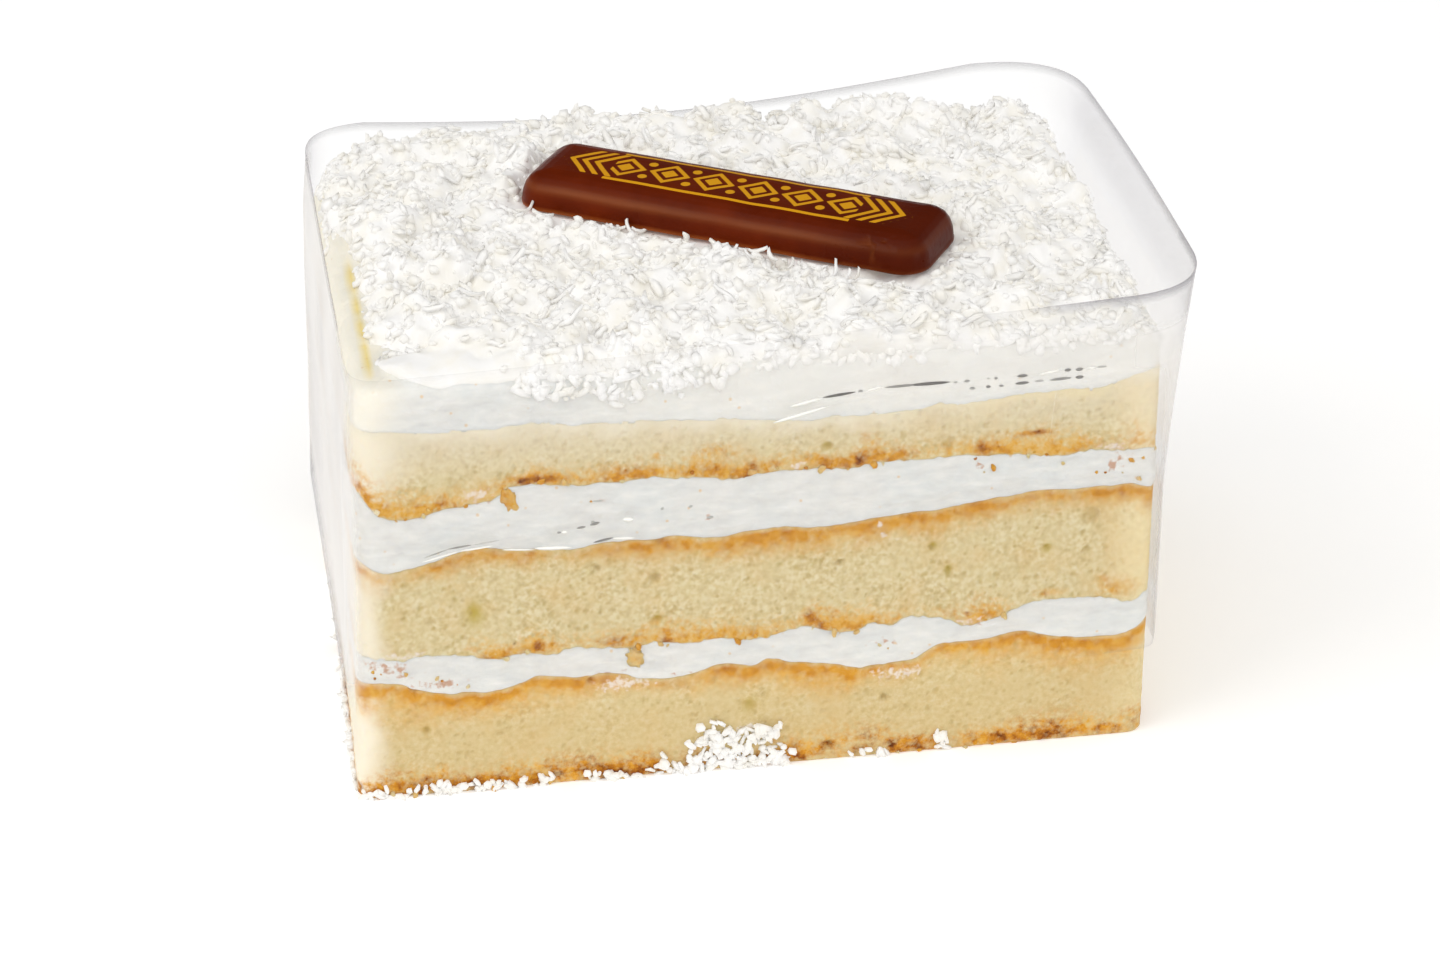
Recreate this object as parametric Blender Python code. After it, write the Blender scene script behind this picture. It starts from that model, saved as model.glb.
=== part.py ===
"""A cut slice of vanilla layer cake in its clear collar.

Three layers of pale sponge hold two cream fillings. A coat of cream, a heap of
shredded coconut and a chocolate bar lie on top, and a strip of clear film runs
round the slice. Metres, +Z up. The origin is on the underside, in the middle of
the slice. The long cut face looks towards -Y.
"""

import math
import random

import bmesh
import bpy
from mathutils import Matrix, Vector, noise

MM = 0.001

# The block of cake
LENGTH = 100 * MM
DEPTH = 69 * MM
GAP = 0.3 * MM
LEFT_CORNER_FOOT = 2.5 * MM
LEFT_CORNER_TOP = 4.0 * MM
RIGHT_CORNER = 2.6 * MM
LEAN_TOP = 60 * MM
# How far the front left corner leans in, at even steps of height from 0 to LEAN_TOP
LEAN = [0.3, 0.6, 0.9, 1.2, 1.3, 1.6, 2.4]
# How far the back left corner stands in, at the same steps
BACK_LEAN = [2.2, 2.0, 1.8, 1.6, 1.8, 2.0, 2.4]

# Heights of the seams, in mm, at even stations along the cut face from left to right
TABLE = [0.0, 0.0]
SEAM_1 = [17.0, 13.8, 14.8, 14.7, 15.4, 13.1, 14.7, 15.1, 15.4]
SEAM_2 = [19.9, 18.7, 18.7, 18.7, 19.0, 18.4, 18.5, 19.9, 19.7]
SEAM_3 = [32.9, 31.8, 33.5, 33.2, 33.5, 34.3, 35.2, 35.6, 35.6]
SEAM_4 = [41.6, 39.4, 41.9, 41.8, 41.9, 41.5, 42.0, 41.4, 41.1]
SEAM_5 = [51.6, 49.9, 50.3, 49.5, 49.4, 50.1, 50.3, 50.3, 52.0]
CREAM_ROOF = [55.0, 55.0]
SEAM_WAVE = 1.6 * MM
SEAM_WAVE_LENGTH = 24 * MM

# Points round the block: each long side, each short side, each corner
LONG_STEPS = 26
SHORT_STEPS = 16
CORNER_STEPS = 3
CAP_STEP = 4
CAP_SCALE = 0.8

# How far each layer's side stands out, in mm, from its floor to its roof
PROFILE_BOTTOM = [-0.4, 0.0, 0.0, 0.1, 0.1]
PROFILE_LOWER_CREAM = [-0.2, 0.3, -0.2]
PROFILE_MIDDLE = [0.1, 0.0, -0.1, 0.0, 0.1]
PROFILE_UPPER_CREAM = [-0.2, 0.35, -0.1]
PROFILE_TOP = [0.1, 0.0, -0.1, -0.1]
PROFILE_TOP_CREAM = [-0.2, 0.1, -0.2, -1.6]

# Relief of the cut faces
CRUMB_DEPTH = 0.30 * MM
CRUMB_SIZE = 4.0 * MM
SMEAR_DEPTH = 0.30 * MM
SMEAR_SIZE = 9.0 * MM

# The coconut
HEAP_FLOOR = 55.3 * MM
HEAP_EDGE = 56.6 * MM
HEAP_TOP = 58.2 * MM
HEAP_DOME = 3.2 * MM
HEAP_SHOULDER = 5.0 * MM
HEAP_MARGIN = 0.8 * MM
HEAP_LEFT_MARGIN = 2.6 * MM
HEAP_CORNER = 6.5 * MM
HEAP_COLUMNS = 30
HEAP_ROWS = 20
LUMP_DEPTH = 0.65 * MM
LUMP_SIZE = 3.6 * MM
RAGGED_EDGE = 0.012
SHRED_COUNT = 160
SHRED_SEED = 21
SHRED_REACH = 0.955
SHRED_LENGTH = (3.2 * MM, 5.4 * MM)
SHRED_WIDTH = (1.1 * MM, 1.6 * MM)
SHRED_THICKNESS = 0.7 * MM
SHRED_SPACING = 4.6 * MM
STUCK_COUNT = 16
STUCK_SEED = 8
STUCK_SINK = 0.1 * MM
STUCK_CENTRE = (0.5 * MM, 2.4 * MM)
STUCK_SPREAD = (6.5 * MM, 1.5 * MM)
STUCK_LOWEST = 1.2 * MM
STUCK_SPACING = 1.8 * MM

# The chocolate bar
BAR_LENGTH = 55 * MM
BAR_WIDTH = 15 * MM
BAR_HEIGHT = 4.6 * MM
BAR_CORNER = 4.6 * MM
BAR_EDGE = 1.5 * MM
BAR_CENTRE = (3.1 * MM, -0.6 * MM, 61.8 * MM)
BAR_TURN = math.radians(-32.0)

# The clear collar: front left, front right, back right, back left, in mm
FILM_THICKNESS = 0.35 * MM
FILM_FOOT = [(-50.9, -35.4, 11.6), (50.8, -35.4, 13.0), (50.8, 35.4, 11.5), (-50.4, 35.6, 10.5)]
FILM_RIM = [(-48.4, -35.5, 58.2), (55.2, -36.0, 63.0), (54.4, 37.2, 62.6), (-48.4, 36.6, 59.4)]
FILM_FOOT_CORNER = [3.0, 2.6, 3.0, 6.0]
FILM_RIM_CORNER = [4.5, 11.0, 13.0, 8.0]
FILM_FOOT_SAG = [(0, 0, -1.8), (0, 0, 0), (0, 0, 0), (0, 0, 0)]
FILM_RIM_SAG = [(0, 0, -0.4), (0, 0, 0.6), (0, 0.4, -2.8), (0, 0, -0.4)]
FILM_BANDS = 5
FILM_STEPS = (16, 10, 16, 10)
FILM_CORNER_STEPS = 4
FLARE_START = 0.45
FLARE_CURVE = 1.3

SPONGE = (0.93, 0.83, 0.55)
CREAM = (0.95, 0.94, 0.90)
COCONUT = (0.94, 0.94, 0.92)
CHOCOLATE = (0.16, 0.055, 0.03)
FILM = (0.86, 0.87, 0.92)


def clamp(value):
    return min(max(value, 0.0), 1.0)


def ease(value):
    t = clamp(value)
    return t * t * (3 - 2 * t)


def along(stations, part):
    """The value at a part, 0 to 1, of the way along evenly spaced stations."""
    place = clamp(part) * (len(stations) - 1)
    first = min(int(place), len(stations) - 2)
    blend = ease(place - first)
    return stations[first] * (1 - blend) + stations[first + 1] * blend


def left_edge(z, y):
    """Where the left side stands at a height and a depth: it is cut askew, so its corners lean unlike."""
    front = along(LEAN, z / LEAN_TOP) * MM
    back = along(BACK_LEAN, z / LEAN_TOP) * MM
    return -LENGTH / 2 + front + (back - front) * (y / DEPTH + 0.5)


def seam(stations, x, y):
    """Height of a seam. It follows its stations at the cut face and wanders further back."""
    front = along(stations, x / LENGTH + 0.5) * MM
    if min(stations) == max(stations):
        return front
    wander = noise.noise(Vector((x, y, front * 9)) / SEAM_WAVE_LENGTH)
    return front + SEAM_WAVE * wander * (y / DEPTH + 0.5)


def rounded_loop(corners, radii, sags, steps, corner_steps):
    """A closed loop round four rounded corners, counter-clockwise, with each side bent by its sag."""
    points = []
    for i, corner in enumerate(corners):
        after, before = corners[(i + 1) % 4], corners[i - 1]
        arrive = corner + (before - corner).normalized() * radii[i]
        leave = corner + (after - corner).normalized() * radii[i]
        next_radius = radii[(i + 1) % 4]
        stop = after + (corner - after).normalized() * next_radius
        for k in range(corner_steps):
            t = k / corner_steps
            points.append(arrive * (1 - t) ** 2 + corner * 2 * t * (1 - t) + leave * t * t)
        for k in range(steps[i]):
            t = k / steps[i]
            points.append(leave.lerp(stop, t) + sags[i] * math.sin(math.pi * t))
    return points


def block_loop(z):
    """The outline of the cake at a height."""
    right = LENGTH / 2
    y = DEPTH / 2
    corners = [Vector((left_edge(z, -y), -y, 0)), Vector((right, -y, 0)),
               Vector((right, y, 0)), Vector((left_edge(z, y), y, 0))]
    left_corner = LEFT_CORNER_FOOT + (LEFT_CORNER_TOP - LEFT_CORNER_FOOT) * ease(z / LEAN_TOP)
    radii = [left_corner, RIGHT_CORNER, RIGHT_CORNER, left_corner]
    steps = [LONG_STEPS, SHORT_STEPS, LONG_STEPS, SHORT_STEPS]
    return rounded_loop(corners, radii, [Vector()] * 4, steps, CORNER_STEPS)


def outward(points, i):
    """The horizontal direction that points out of a counter-clockwise loop at one of its points."""
    way = points[(i + 1) % len(points)] - points[i - 1]
    return Vector((way.y, -way.x, 0)).normalized()


def material(name, colour, roughness, alpha=1.0):
    made = bpy.data.materials.new(name)
    made.use_nodes = True
    shader = made.node_tree.nodes["Principled BSDF"]
    shader.inputs["Base Color"].default_value = (*colour, 1.0)
    shader.inputs["Roughness"].default_value = roughness
    shader.inputs["Metallic"].default_value = 0.0
    shader.inputs["Alpha"].default_value = alpha
    return made


def add_object(name, bm, finish):
    mesh = bpy.data.meshes.new(name)
    bm.to_mesh(mesh)
    bm.free()
    mesh.materials.append(finish)
    made = bpy.data.objects.new(name, mesh)
    bpy.context.scene.collection.objects.link(made)
    return made


def bridge(bm, lower, upper):
    """Wall faces between two rings of equal length, facing away from the loop's middle."""
    for i in range(len(lower)):
        j = (i + 1) % len(lower)
        bm.faces.new((lower[i], lower[j], upper[j], upper[i]))


def close_cap(bm, ring, inner_points, faces_up):
    """Closes a ring through a sparser inner ring and a middle point."""
    inner = [bm.verts.new(point) for point in inner_points[:-1]]
    middle = bm.verts.new(inner_points[-1])
    triangles = []
    for j in range(len(inner)):
        ahead = inner[(j + 1) % len(inner)]
        first = CAP_STEP * j - CAP_STEP // 2
        for k in range(first, first + CAP_STEP):
            triangles.append((ring[k], ring[(k + 1) % len(ring)], inner[j]))
        triangles.append((ring[first + CAP_STEP], ahead, inner[j]))
        triangles.append((inner[j], ahead, middle))
    for corners in triangles:
        bm.faces.new(corners if faces_up else corners[::-1])


def cap_points(stations, lift):
    """The inner ring and the middle of a cap on a seam, alike for the layers above and below it."""
    loop = block_loop(sum(stations) / len(stations) * MM)
    spots = [point * CAP_SCALE for point in loop[::CAP_STEP]] + [Vector()]
    return [Vector((p.x, p.y, seam(stations, p.x, p.y) + lift)) for p in spots]


def layer(name, floor, roof, profile, depth, size, finish):
    """One layer between two seams. The profile gives how far its side stands out, from floor to roof."""
    floor_lift = 0.0 if floor is TABLE else GAP / 2
    roof_lift = -GAP / 2
    low, high = sum(floor) / len(floor), sum(roof) / len(roof)
    bm = bmesh.new()
    rings = []
    for band, stand in enumerate(profile):
        t = band / (len(profile) - 1)
        loop = block_loop((low + (high - low) * t) * MM)
        ring = []
        for i, point in enumerate(loop):
            bottom = seam(floor, point.x, point.y) + floor_lift
            top = seam(roof, point.x, point.y) + roof_lift
            spot = Vector((point.x, point.y, bottom + (top - bottom) * t))
            rough = depth * noise.noise(spot / size)
            ring.append(bm.verts.new(spot + outward(loop, i) * (stand * MM + rough)))
        rings.append(ring)
    for lower, upper in zip(rings, rings[1:]):
        bridge(bm, lower, upper)
    close_cap(bm, rings[0], cap_points(floor, floor_lift), False)
    close_cap(bm, rings[-1], cap_points(roof, roof_lift), True)
    return add_object(name, bm, finish)


def shred(name, place, way, up, length, width):
    """A strip of coconut, bent at its middle and narrower at its ends."""
    side = up.cross(way).normalized()
    rise = way.cross(side).normalized()
    bm = bmesh.new()
    rings = []
    for step, slim, sink in ((-0.5, 0.6, -0.25), (0.0, 1.0, 0.15), (0.5, 0.55, -0.25)):
        centre = place + way * length * step + rise * SHRED_THICKNESS * sink * 2
        half = side * width * slim / 2
        edge = rise * SHRED_THICKNESS / 2
        rings.append([bm.verts.new(centre + a + b) for a, b in
                      ((-half, -edge), (half, -edge), (half, edge), (-half, edge))])
    for lower, upper in zip(rings, rings[1:]):
        bridge(bm, lower, upper)
    bm.faces.new(rings[0][::-1])
    bm.faces.new(rings[-1])
    bmesh.ops.recalc_face_normals(bm, faces=bm.faces)
    mesh = bpy.data.meshes.new(name)
    bm.to_mesh(mesh)
    bm.free()
    return bpy.data.objects.new(name, mesh)


def evaluated_mesh(obj):
    bpy.context.view_layer.update()
    graph = bpy.context.evaluated_depsgraph_get()
    return bpy.data.meshes.new_from_object(obj.evaluated_get(graph))


def keep_largest(mesh):
    """Drops what a union leaves apart from the main body: loose scraps and the skins of sealed hollows."""
    bm = bmesh.new()
    bm.from_mesh(mesh)
    groups = []
    unseen = set(bm.verts)
    while unseen:
        group = set()
        front = [unseen.pop()]
        while front:
            vert = front.pop()
            group.add(vert)
            for edge in vert.link_edges:
                other = edge.other_vert(vert)
                if other in unseen:
                    unseen.remove(other)
                    front.append(other)
        groups.append(group)
    groups.sort(key=len)
    loose = [vert for group in groups[:-1] for vert in group]
    bmesh.ops.delete(bm, geom=loose, context="VERTS")
    bm.to_mesh(mesh)
    bm.free()


def combine(target, parts, operation):
    """Applies one Boolean of the target with all the parts, and removes the parts."""
    group = bpy.data.collections.new(target.name + "_parts")
    bpy.context.scene.collection.children.link(group)
    for part in parts:
        group.objects.link(part)
        part.hide_render = True
        part.display_type = "WIRE"
    modifier = target.modifiers.new(operation.lower(), "BOOLEAN")
    modifier.operation = operation
    modifier.operand_type = "COLLECTION"
    modifier.collection = group
    modifier.solver = "EXACT"
    joined = evaluated_mesh(target)
    keep_largest(joined)
    target.modifiers.clear()
    target.data = joined
    for part in parts:
        bpy.data.objects.remove(part)
    bpy.data.collections.remove(group)


def heap_height(x, y):
    """The top of the heap: a low dome, higher towards the back, that rolls over at its edge."""
    half_length = LENGTH / 2 - HEAP_MARGIN
    half_depth = DEPTH / 2 - HEAP_MARGIN
    left = left_edge(HEAP_FLOOR, y) + HEAP_LEFT_MARGIN
    inside = max(min(half_length - x, x - left, half_depth - abs(y)), 0.0)
    shoulder = math.sqrt(1 - (1 - clamp(inside / HEAP_SHOULDER)) ** 2)
    dome = HEAP_DOME * (1 - (x / LENGTH * 1.8) ** 2) * (0.58 + 0.42 * y / half_depth)
    crown = HEAP_TOP + dome
    lumps = LUMP_DEPTH * noise.noise(Vector((x, y, 0)) / LUMP_SIZE)
    return HEAP_EDGE + (crown - HEAP_EDGE) * shoulder + lumps * (0.4 + 0.6 * shoulder)


def heap_spot(u, v):
    """Maps a square from -1 to 1 onto the heap's outline, with rounded corners."""
    left = left_edge(HEAP_FLOOR, v * DEPTH / 2) + HEAP_LEFT_MARGIN
    right = LENGTH / 2 - HEAP_MARGIN
    half = (right - left) / 2, DEPTH / 2 - HEAP_MARGIN
    far = [abs(u) * half[0] - (half[0] - HEAP_CORNER), abs(v) * half[1] - (half[1] - HEAP_CORNER)]
    if min(far) > 0:
        shrink = max(far) / math.hypot(*far)
        far = [distance * shrink for distance in far]
    x = math.copysign(half[0] - HEAP_CORNER + far[0], u)
    y = math.copysign(half[1] - HEAP_CORNER + far[1], v)
    ragged = 1 + RAGGED_EDGE * noise.noise(Vector((x, y, LENGTH)) / CRUMB_SIZE) * max(abs(u), abs(v))
    return (left + right) / 2 + x * ragged, y * ragged


def heap_core(finish):
    """A lumpy slab with a flat underside."""
    bm = bmesh.new()
    bmesh.ops.create_grid(bm, x_segments=HEAP_COLUMNS, y_segments=HEAP_ROWS, size=1.0)
    for vert in bm.verts:
        x, y = heap_spot(vert.co.x, vert.co.y)
        vert.co = (x, y, heap_height(x, y))
    rim = [edge for edge in bm.edges if edge.is_boundary]
    walls = bmesh.ops.extrude_edge_only(bm, edges=rim)["geom"]
    for vert in (item for item in walls if isinstance(item, bmesh.types.BMVert)):
        vert.co.z = HEAP_FLOOR
    bmesh.ops.holes_fill(bm, edges=[edge for edge in bm.edges if edge.is_boundary])
    bmesh.ops.recalc_face_normals(bm, faces=bm.faces)
    return add_object("coconut_topping", bm, finish)


def spaced(draw, count, spacing, pick):
    """Random places that keep their distance from each other."""
    places = []
    for _ in range(count * 40):
        if len(places) == count:
            break
        place = pick(draw)
        if all((place - other).length > spacing for other in places):
            places.append(place)
    return places


def random_shred(draw, name, place, up):
    """A shred that lies near the surface whose upward direction is given."""
    turn = draw.uniform(0, math.tau)
    flat = Vector((math.cos(turn), math.sin(turn), 0))
    way = (flat - up * flat.dot(up)).normalized()
    way = (way + up * draw.uniform(-0.35, 0.35)).normalized()
    roll = Matrix.Rotation(draw.uniform(-0.6, 0.6), 3, way)
    length = draw.uniform(*SHRED_LENGTH)
    width = draw.uniform(*SHRED_WIDTH)
    return shred(name, place, way, roll @ up, length, width)


def clears_bar(piece):
    """Whether a shred stays outside the room that the chocolate bar takes."""
    turn = Matrix.Rotation(-BAR_TURN, 3, "Z")
    for vert in piece.data.vertices:
        spot = turn @ (vert.co - Vector(BAR_CENTRE))
        if abs(spot.x) < BAR_LENGTH / 2 + 2 * GAP and abs(spot.y) < BAR_WIDTH / 2 + 2 * GAP:
            return False
    return True


def heap_shreds():
    """The largest shreds, spread evenly over the heap."""
    draw = random.Random(SHRED_SEED)

    def pick(source):
        across = source.uniform(-SHRED_REACH, SHRED_REACH)
        back = source.uniform(-SHRED_REACH, SHRED_REACH)
        x, y = heap_spot(across, back)
        return Vector((x, y, heap_height(x, y)))

    places = spaced(draw, SHRED_COUNT, SHRED_SPACING, pick)
    up = Vector((0, 0, 1))
    made = []
    for i, place in enumerate(places):
        piece = random_shred(draw, f"shred_{i}", place, up)
        if clears_bar(piece):
            made.append(piece)
        else:
            bpy.data.objects.remove(piece)
    return made


def stuck_shreds():
    """Shreds that cling low on the cut face."""
    draw = random.Random(STUCK_SEED)

    def pick(source):
        x = source.gauss(STUCK_CENTRE[0], STUCK_SPREAD[0])
        z = max(source.gauss(STUCK_CENTRE[1], STUCK_SPREAD[1]), STUCK_LOWEST)
        return Vector((x, -DEPTH / 2 + STUCK_SINK, z))

    made = []
    for i, place in enumerate(spaced(draw, STUCK_COUNT, STUCK_SPACING, pick)):
        turn = draw.uniform(-0.5, 0.5)
        way = Vector((math.cos(turn), draw.uniform(-0.25, 0.25), math.sin(turn) * 0.4)).normalized()
        length = draw.uniform(SHRED_LENGTH[0], SHRED_LENGTH[1]) * 0.75
        made.append(shred(f"stuck_{i}", place, way, Vector((0, -1, 0)), length, SHRED_WIDTH[0]))
    return made


def bar(name, grow, finish):
    """The chocolate bar: a plate with rounded corners and soft edges, larger by grow on every side."""
    bm = bmesh.new()
    bmesh.ops.create_cube(bm, size=1.0)
    size = (BAR_LENGTH + 2 * grow, BAR_WIDTH + 2 * grow, BAR_HEIGHT + 2 * grow)
    bmesh.ops.scale(bm, vec=size, verts=bm.verts)
    near_end = size[2] / 2 - GAP / 10

    def round_edges(chosen, offset, segments):
        bmesh.ops.bevel(bm, geom=chosen, offset=offset, segments=segments, profile=0.5, affect="EDGES")

    def heights(edge):
        return [vert.co.z for vert in edge.verts]

    round_edges([edge for edge in bm.edges if max(heights(edge)) - min(heights(edge)) > BAR_HEIGHT / 2],
                BAR_CORNER + grow, 5)
    round_edges([edge for edge in bm.edges if min(heights(edge)) > near_end], BAR_EDGE + grow, 3)
    round_edges([edge for edge in bm.edges if max(heights(edge)) < -near_end], (BAR_EDGE + grow) / 3, 1)
    made = add_object(name, bm, finish)
    made.location = BAR_CENTRE
    made.rotation_euler.z = BAR_TURN
    made.data.shade_smooth()
    made.data.set_sharp_from_angle(angle=math.radians(50))
    return made


def millimetres(rows):
    return [Vector(row) * MM for row in rows]


def film_wall(part, offset):
    """One loop of the collar at a part, 0 to 1, of the way from its foot to its rim."""
    foot = rounded_loop(millimetres(FILM_FOOT), [r * MM for r in FILM_FOOT_CORNER],
                        millimetres(FILM_FOOT_SAG), FILM_STEPS, FILM_CORNER_STEPS)
    rim = rounded_loop(millimetres(FILM_RIM), [r * MM for r in FILM_RIM_CORNER],
                       millimetres(FILM_RIM_SAG), FILM_STEPS, FILM_CORNER_STEPS)
    loop = []
    for low, high in zip(foot, rim):
        z = low.z + (high.z - low.z) * part
        follow = along(LEAN, z / LEAN_TOP) / LEAN[-1]
        flare = clamp((part - FLARE_START) / (1 - FLARE_START)) ** FLARE_CURVE
        across = clamp(low.x / LENGTH + 0.5)
        blend = follow * (1 - across) + flare * across
        spot = low.lerp(high, blend)
        loop.append(Vector((spot.x, spot.y, z)))
    return [point + outward(loop, i) * offset for i, point in enumerate(loop)]


def film_collar(finish):
    """The clear strip: an inner and an outer wall, joined at the foot and at the rim."""
    bm = bmesh.new()
    parts = [band / FILM_BANDS for band in range(FILM_BANDS + 1)]
    inner = [[bm.verts.new(p) for p in film_wall(part, 0.0)] for part in parts]
    outer = [[bm.verts.new(p) for p in film_wall(part, FILM_THICKNESS)] for part in parts]
    for lower, upper in zip(outer, outer[1:]):
        bridge(bm, lower, upper)
    for lower, upper in zip(inner, inner[1:]):
        bridge(bm, upper, lower)
    bridge(bm, outer[-1], inner[-1])
    bridge(bm, inner[0], outer[0])
    made = add_object("film_collar", bm, finish)
    made.data.shade_smooth()
    made.data.set_sharp_from_angle(angle=math.radians(60))
    return made


def main():
    for old in list(bpy.data.objects):
        bpy.data.objects.remove(old)
    sponge = material("pale_sponge", SPONGE, 0.9)
    cream = material("whipped_cream", CREAM, 0.5)
    coconut = material("shredded_coconut", COCONUT, 0.75)
    chocolate = material("milk_chocolate", CHOCOLATE, 0.35)
    film = material("clear_film", FILM, 0.08, alpha=0.25)

    crumb = (CRUMB_DEPTH, CRUMB_SIZE, sponge)
    smear = (SMEAR_DEPTH, SMEAR_SIZE, cream)
    bottom = layer("sponge_bottom", TABLE, SEAM_1, PROFILE_BOTTOM, *crumb)
    layer("cream_lower", SEAM_1, SEAM_2, PROFILE_LOWER_CREAM, *smear)
    layer("sponge_middle", SEAM_2, SEAM_3, PROFILE_MIDDLE, *crumb)
    layer("cream_upper", SEAM_3, SEAM_4, PROFILE_UPPER_CREAM, *smear)
    layer("sponge_top", SEAM_4, SEAM_5, PROFILE_TOP, *crumb)
    layer("cream_top", SEAM_5, CREAM_ROOF, PROFILE_TOP_CREAM, *smear)
    combine(bottom, stuck_shreds(), "UNION")

    heap = heap_core(coconut)
    combine(heap, [bar("bar_room", GAP, chocolate)], "DIFFERENCE")
    combine(heap, heap_shreds(), "UNION")
    bar("chocolate_bar", 0.0, chocolate)
    film_collar(film)


main()
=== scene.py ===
# %% [markdown]
# # A slice of vanilla layer cake in its clear collar
#
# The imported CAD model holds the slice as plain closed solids. This lesson dresses them: each sponge
# gets its crumb and browned skin, each filling its smears, the top its loose coconut, the bar its
# moulded edge and gilt ornament, and the collar its thin clear strip. The CAD parts are never moved.

# %% Load the frame
import math

import bmesh
import bpy
import numpy as np
from mathutils import Matrix, Vector, noise


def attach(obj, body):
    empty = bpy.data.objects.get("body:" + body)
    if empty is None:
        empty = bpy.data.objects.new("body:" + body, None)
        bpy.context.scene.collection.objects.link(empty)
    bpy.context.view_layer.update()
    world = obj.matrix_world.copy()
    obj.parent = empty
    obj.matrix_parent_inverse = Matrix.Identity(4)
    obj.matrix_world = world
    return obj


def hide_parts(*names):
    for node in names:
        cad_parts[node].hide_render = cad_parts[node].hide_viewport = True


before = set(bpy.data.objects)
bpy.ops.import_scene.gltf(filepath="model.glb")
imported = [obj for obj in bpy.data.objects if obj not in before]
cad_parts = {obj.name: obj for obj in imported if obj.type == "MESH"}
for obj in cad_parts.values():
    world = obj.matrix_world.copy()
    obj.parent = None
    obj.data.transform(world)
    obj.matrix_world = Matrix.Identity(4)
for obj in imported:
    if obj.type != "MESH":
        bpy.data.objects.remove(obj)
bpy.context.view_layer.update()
MM = 0.001

# %% [markdown]
# ## Camera, floor and light
#
# The camera was fitted to the corners of the block in the photograph. It is a long lens that looks
# down by about 28 degrees. A white sweep stands under the slice. Bakery pictures are lit softly from
# all round, so one large softbox hangs above and two smaller ones stand at the sides. The far wall of
# the room is darker than the rest, because glossy chocolate would mirror a bright wall and turn grey.

# %% Camera
# Fitted: how far it looks down and to the right, in radians, and where it stands, in m
PITCH, YAW = 0.49772, 0.16293
CAMERA_PLACE = Vector((-0.076504, -0.472659, 0.282389))
LENS, SENSOR = 105.0, 36.0

ahead = Vector((math.sin(YAW) * math.cos(PITCH), math.cos(YAW) * math.cos(PITCH), -math.sin(PITCH)))
right = Vector((math.cos(YAW), -math.sin(YAW), 0))
turn = Matrix((right, right.cross(ahead), -ahead)).transposed()
lens = bpy.data.cameras.new("camera")
lens.lens, lens.sensor_width = LENS, SENSOR
camera = bpy.data.objects.new("camera", lens)
camera.matrix_world = Matrix.Translation(CAMERA_PLACE) @ turn.to_4x4()
bpy.context.scene.collection.objects.link(camera)
bpy.context.scene.camera = camera
bpy.context.scene.view_settings.view_transform = "Standard"
print("the camera stands", round(CAMERA_PLACE.length, 3), "m from the slice")

# %% Softboxes
LAMP_WHITE = (1.0, 0.995, 0.988)
LAMP_AIM = Vector((0, 0, 0.03))
# Where each box hangs, its width and height, all in m, and its watts
SOFTBOXES = {"top_box": ((-0.15, -0.25, 0.95), 0.9, 0.7, 1.5),
             "left_box": ((-0.62, -0.25, 0.62), 0.5, 0.4, 1.5),
             "right_box": ((0.8, -0.7, 0.35), 0.5, 0.6, 1.2)}
for name, (place, width, height, watts) in SOFTBOXES.items():
    data = bpy.data.lights.new(name, "AREA")
    data.shape = "RECTANGLE"
    data.size, data.size_y, data.energy, data.color = width, height, watts, LAMP_WHITE
    lamp = bpy.data.objects.new(name, data)
    way = LAMP_AIM - Vector(place)
    lamp.matrix_world = Matrix.Translation(place) @ way.to_track_quat("-Z", "Y").to_matrix().to_4x4()
    bpy.context.scene.collection.objects.link(lamp)
print("lights:", list(SOFTBOXES))

# %% [markdown]
# ## Helpers for finishes
#
# A finish is a small graph of nodes, so one function adds a node, sets it up and links it. Colours are
# written as the hex values that a screen shows, and another function turns them to linear light. Most
# finishes are a base colour with thin coats of other colours over it, each driven by a noise or by a
# value that the mesh carries.

# %% Add a node, read a colour, start a finish
def add_node(tree, kind, inputs=None, out=0, **settings):
    """Adds a node with its settings, gives each input its value or its link, and returns an output."""
    made = tree.nodes.new(kind)
    for name, value in settings.items():
        setattr(made, name, value)
    for key, value in (inputs or {}).items():
        if isinstance(value, bpy.types.NodeSocket):
            tree.links.new(value, made.inputs[key])
        else:
            made.inputs[key].default_value = value
    return made.outputs[out] if len(made.outputs) else made


def paint(code):
    """Linear colour of an sRGB hex code."""
    parts = [int(code[i:i + 2], 16) / 255 for i in (1, 3, 5)]
    return tuple(p / 12.92 if p <= 0.04045 else ((p + 0.055) / 1.055) ** 2.4 for p in parts) + (1.0,)


def new_finish(name, carried=(), **constants):
    """Starts a finish: a material, its graph, its shader with these constants, the place on the object, and
    the values that the mesh carries under these names."""
    finish = bpy.data.materials.new(name)
    finish.use_nodes = True
    tree = finish.node_tree
    shader = tree.nodes["Principled BSDF"]
    for key, value in constants.items():
        shader.inputs[key.replace("_", " ")].default_value = value
    place = add_node(tree, "ShaderNodeTexCoord", out="Object")
    return finish, tree, shader, place, *[
        add_node(tree, "ShaderNodeAttribute", attribute_name=key, out="Fac") for key in carried]


def coats(tree, base, layers):
    """Lays coats over a base colour. Each names its driver, where that is nothing and where it is full
    together with how strong it then gets, or None to take it as it is, and its colour."""
    for driver, span, tint in layers:
        if span:
            driver = add_node(tree, "ShaderNodeMapRange", {0: driver, 1: span[0], 2: span[1], 4: span[2]})
        tint = paint(tint) if isinstance(tint, str) else tint
        base = add_node(tree, "ShaderNodeMix", {0: driver, 6: base, 7: tint}, 2, data_type="RGBA")
    return base


def set_surface(tree, shader, colour, relief, strength, depth):
    """Gives the shader its colour, and a bump of a depth in mm that follows a noise."""
    bump = add_node(tree, "ShaderNodeBump", {"Strength": strength, "Distance": depth * MM, "Height": relief})
    tree.links.new(colour, shader.inputs["Base Color"])
    tree.links.new(bump, shader.inputs["Normal"])


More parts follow.
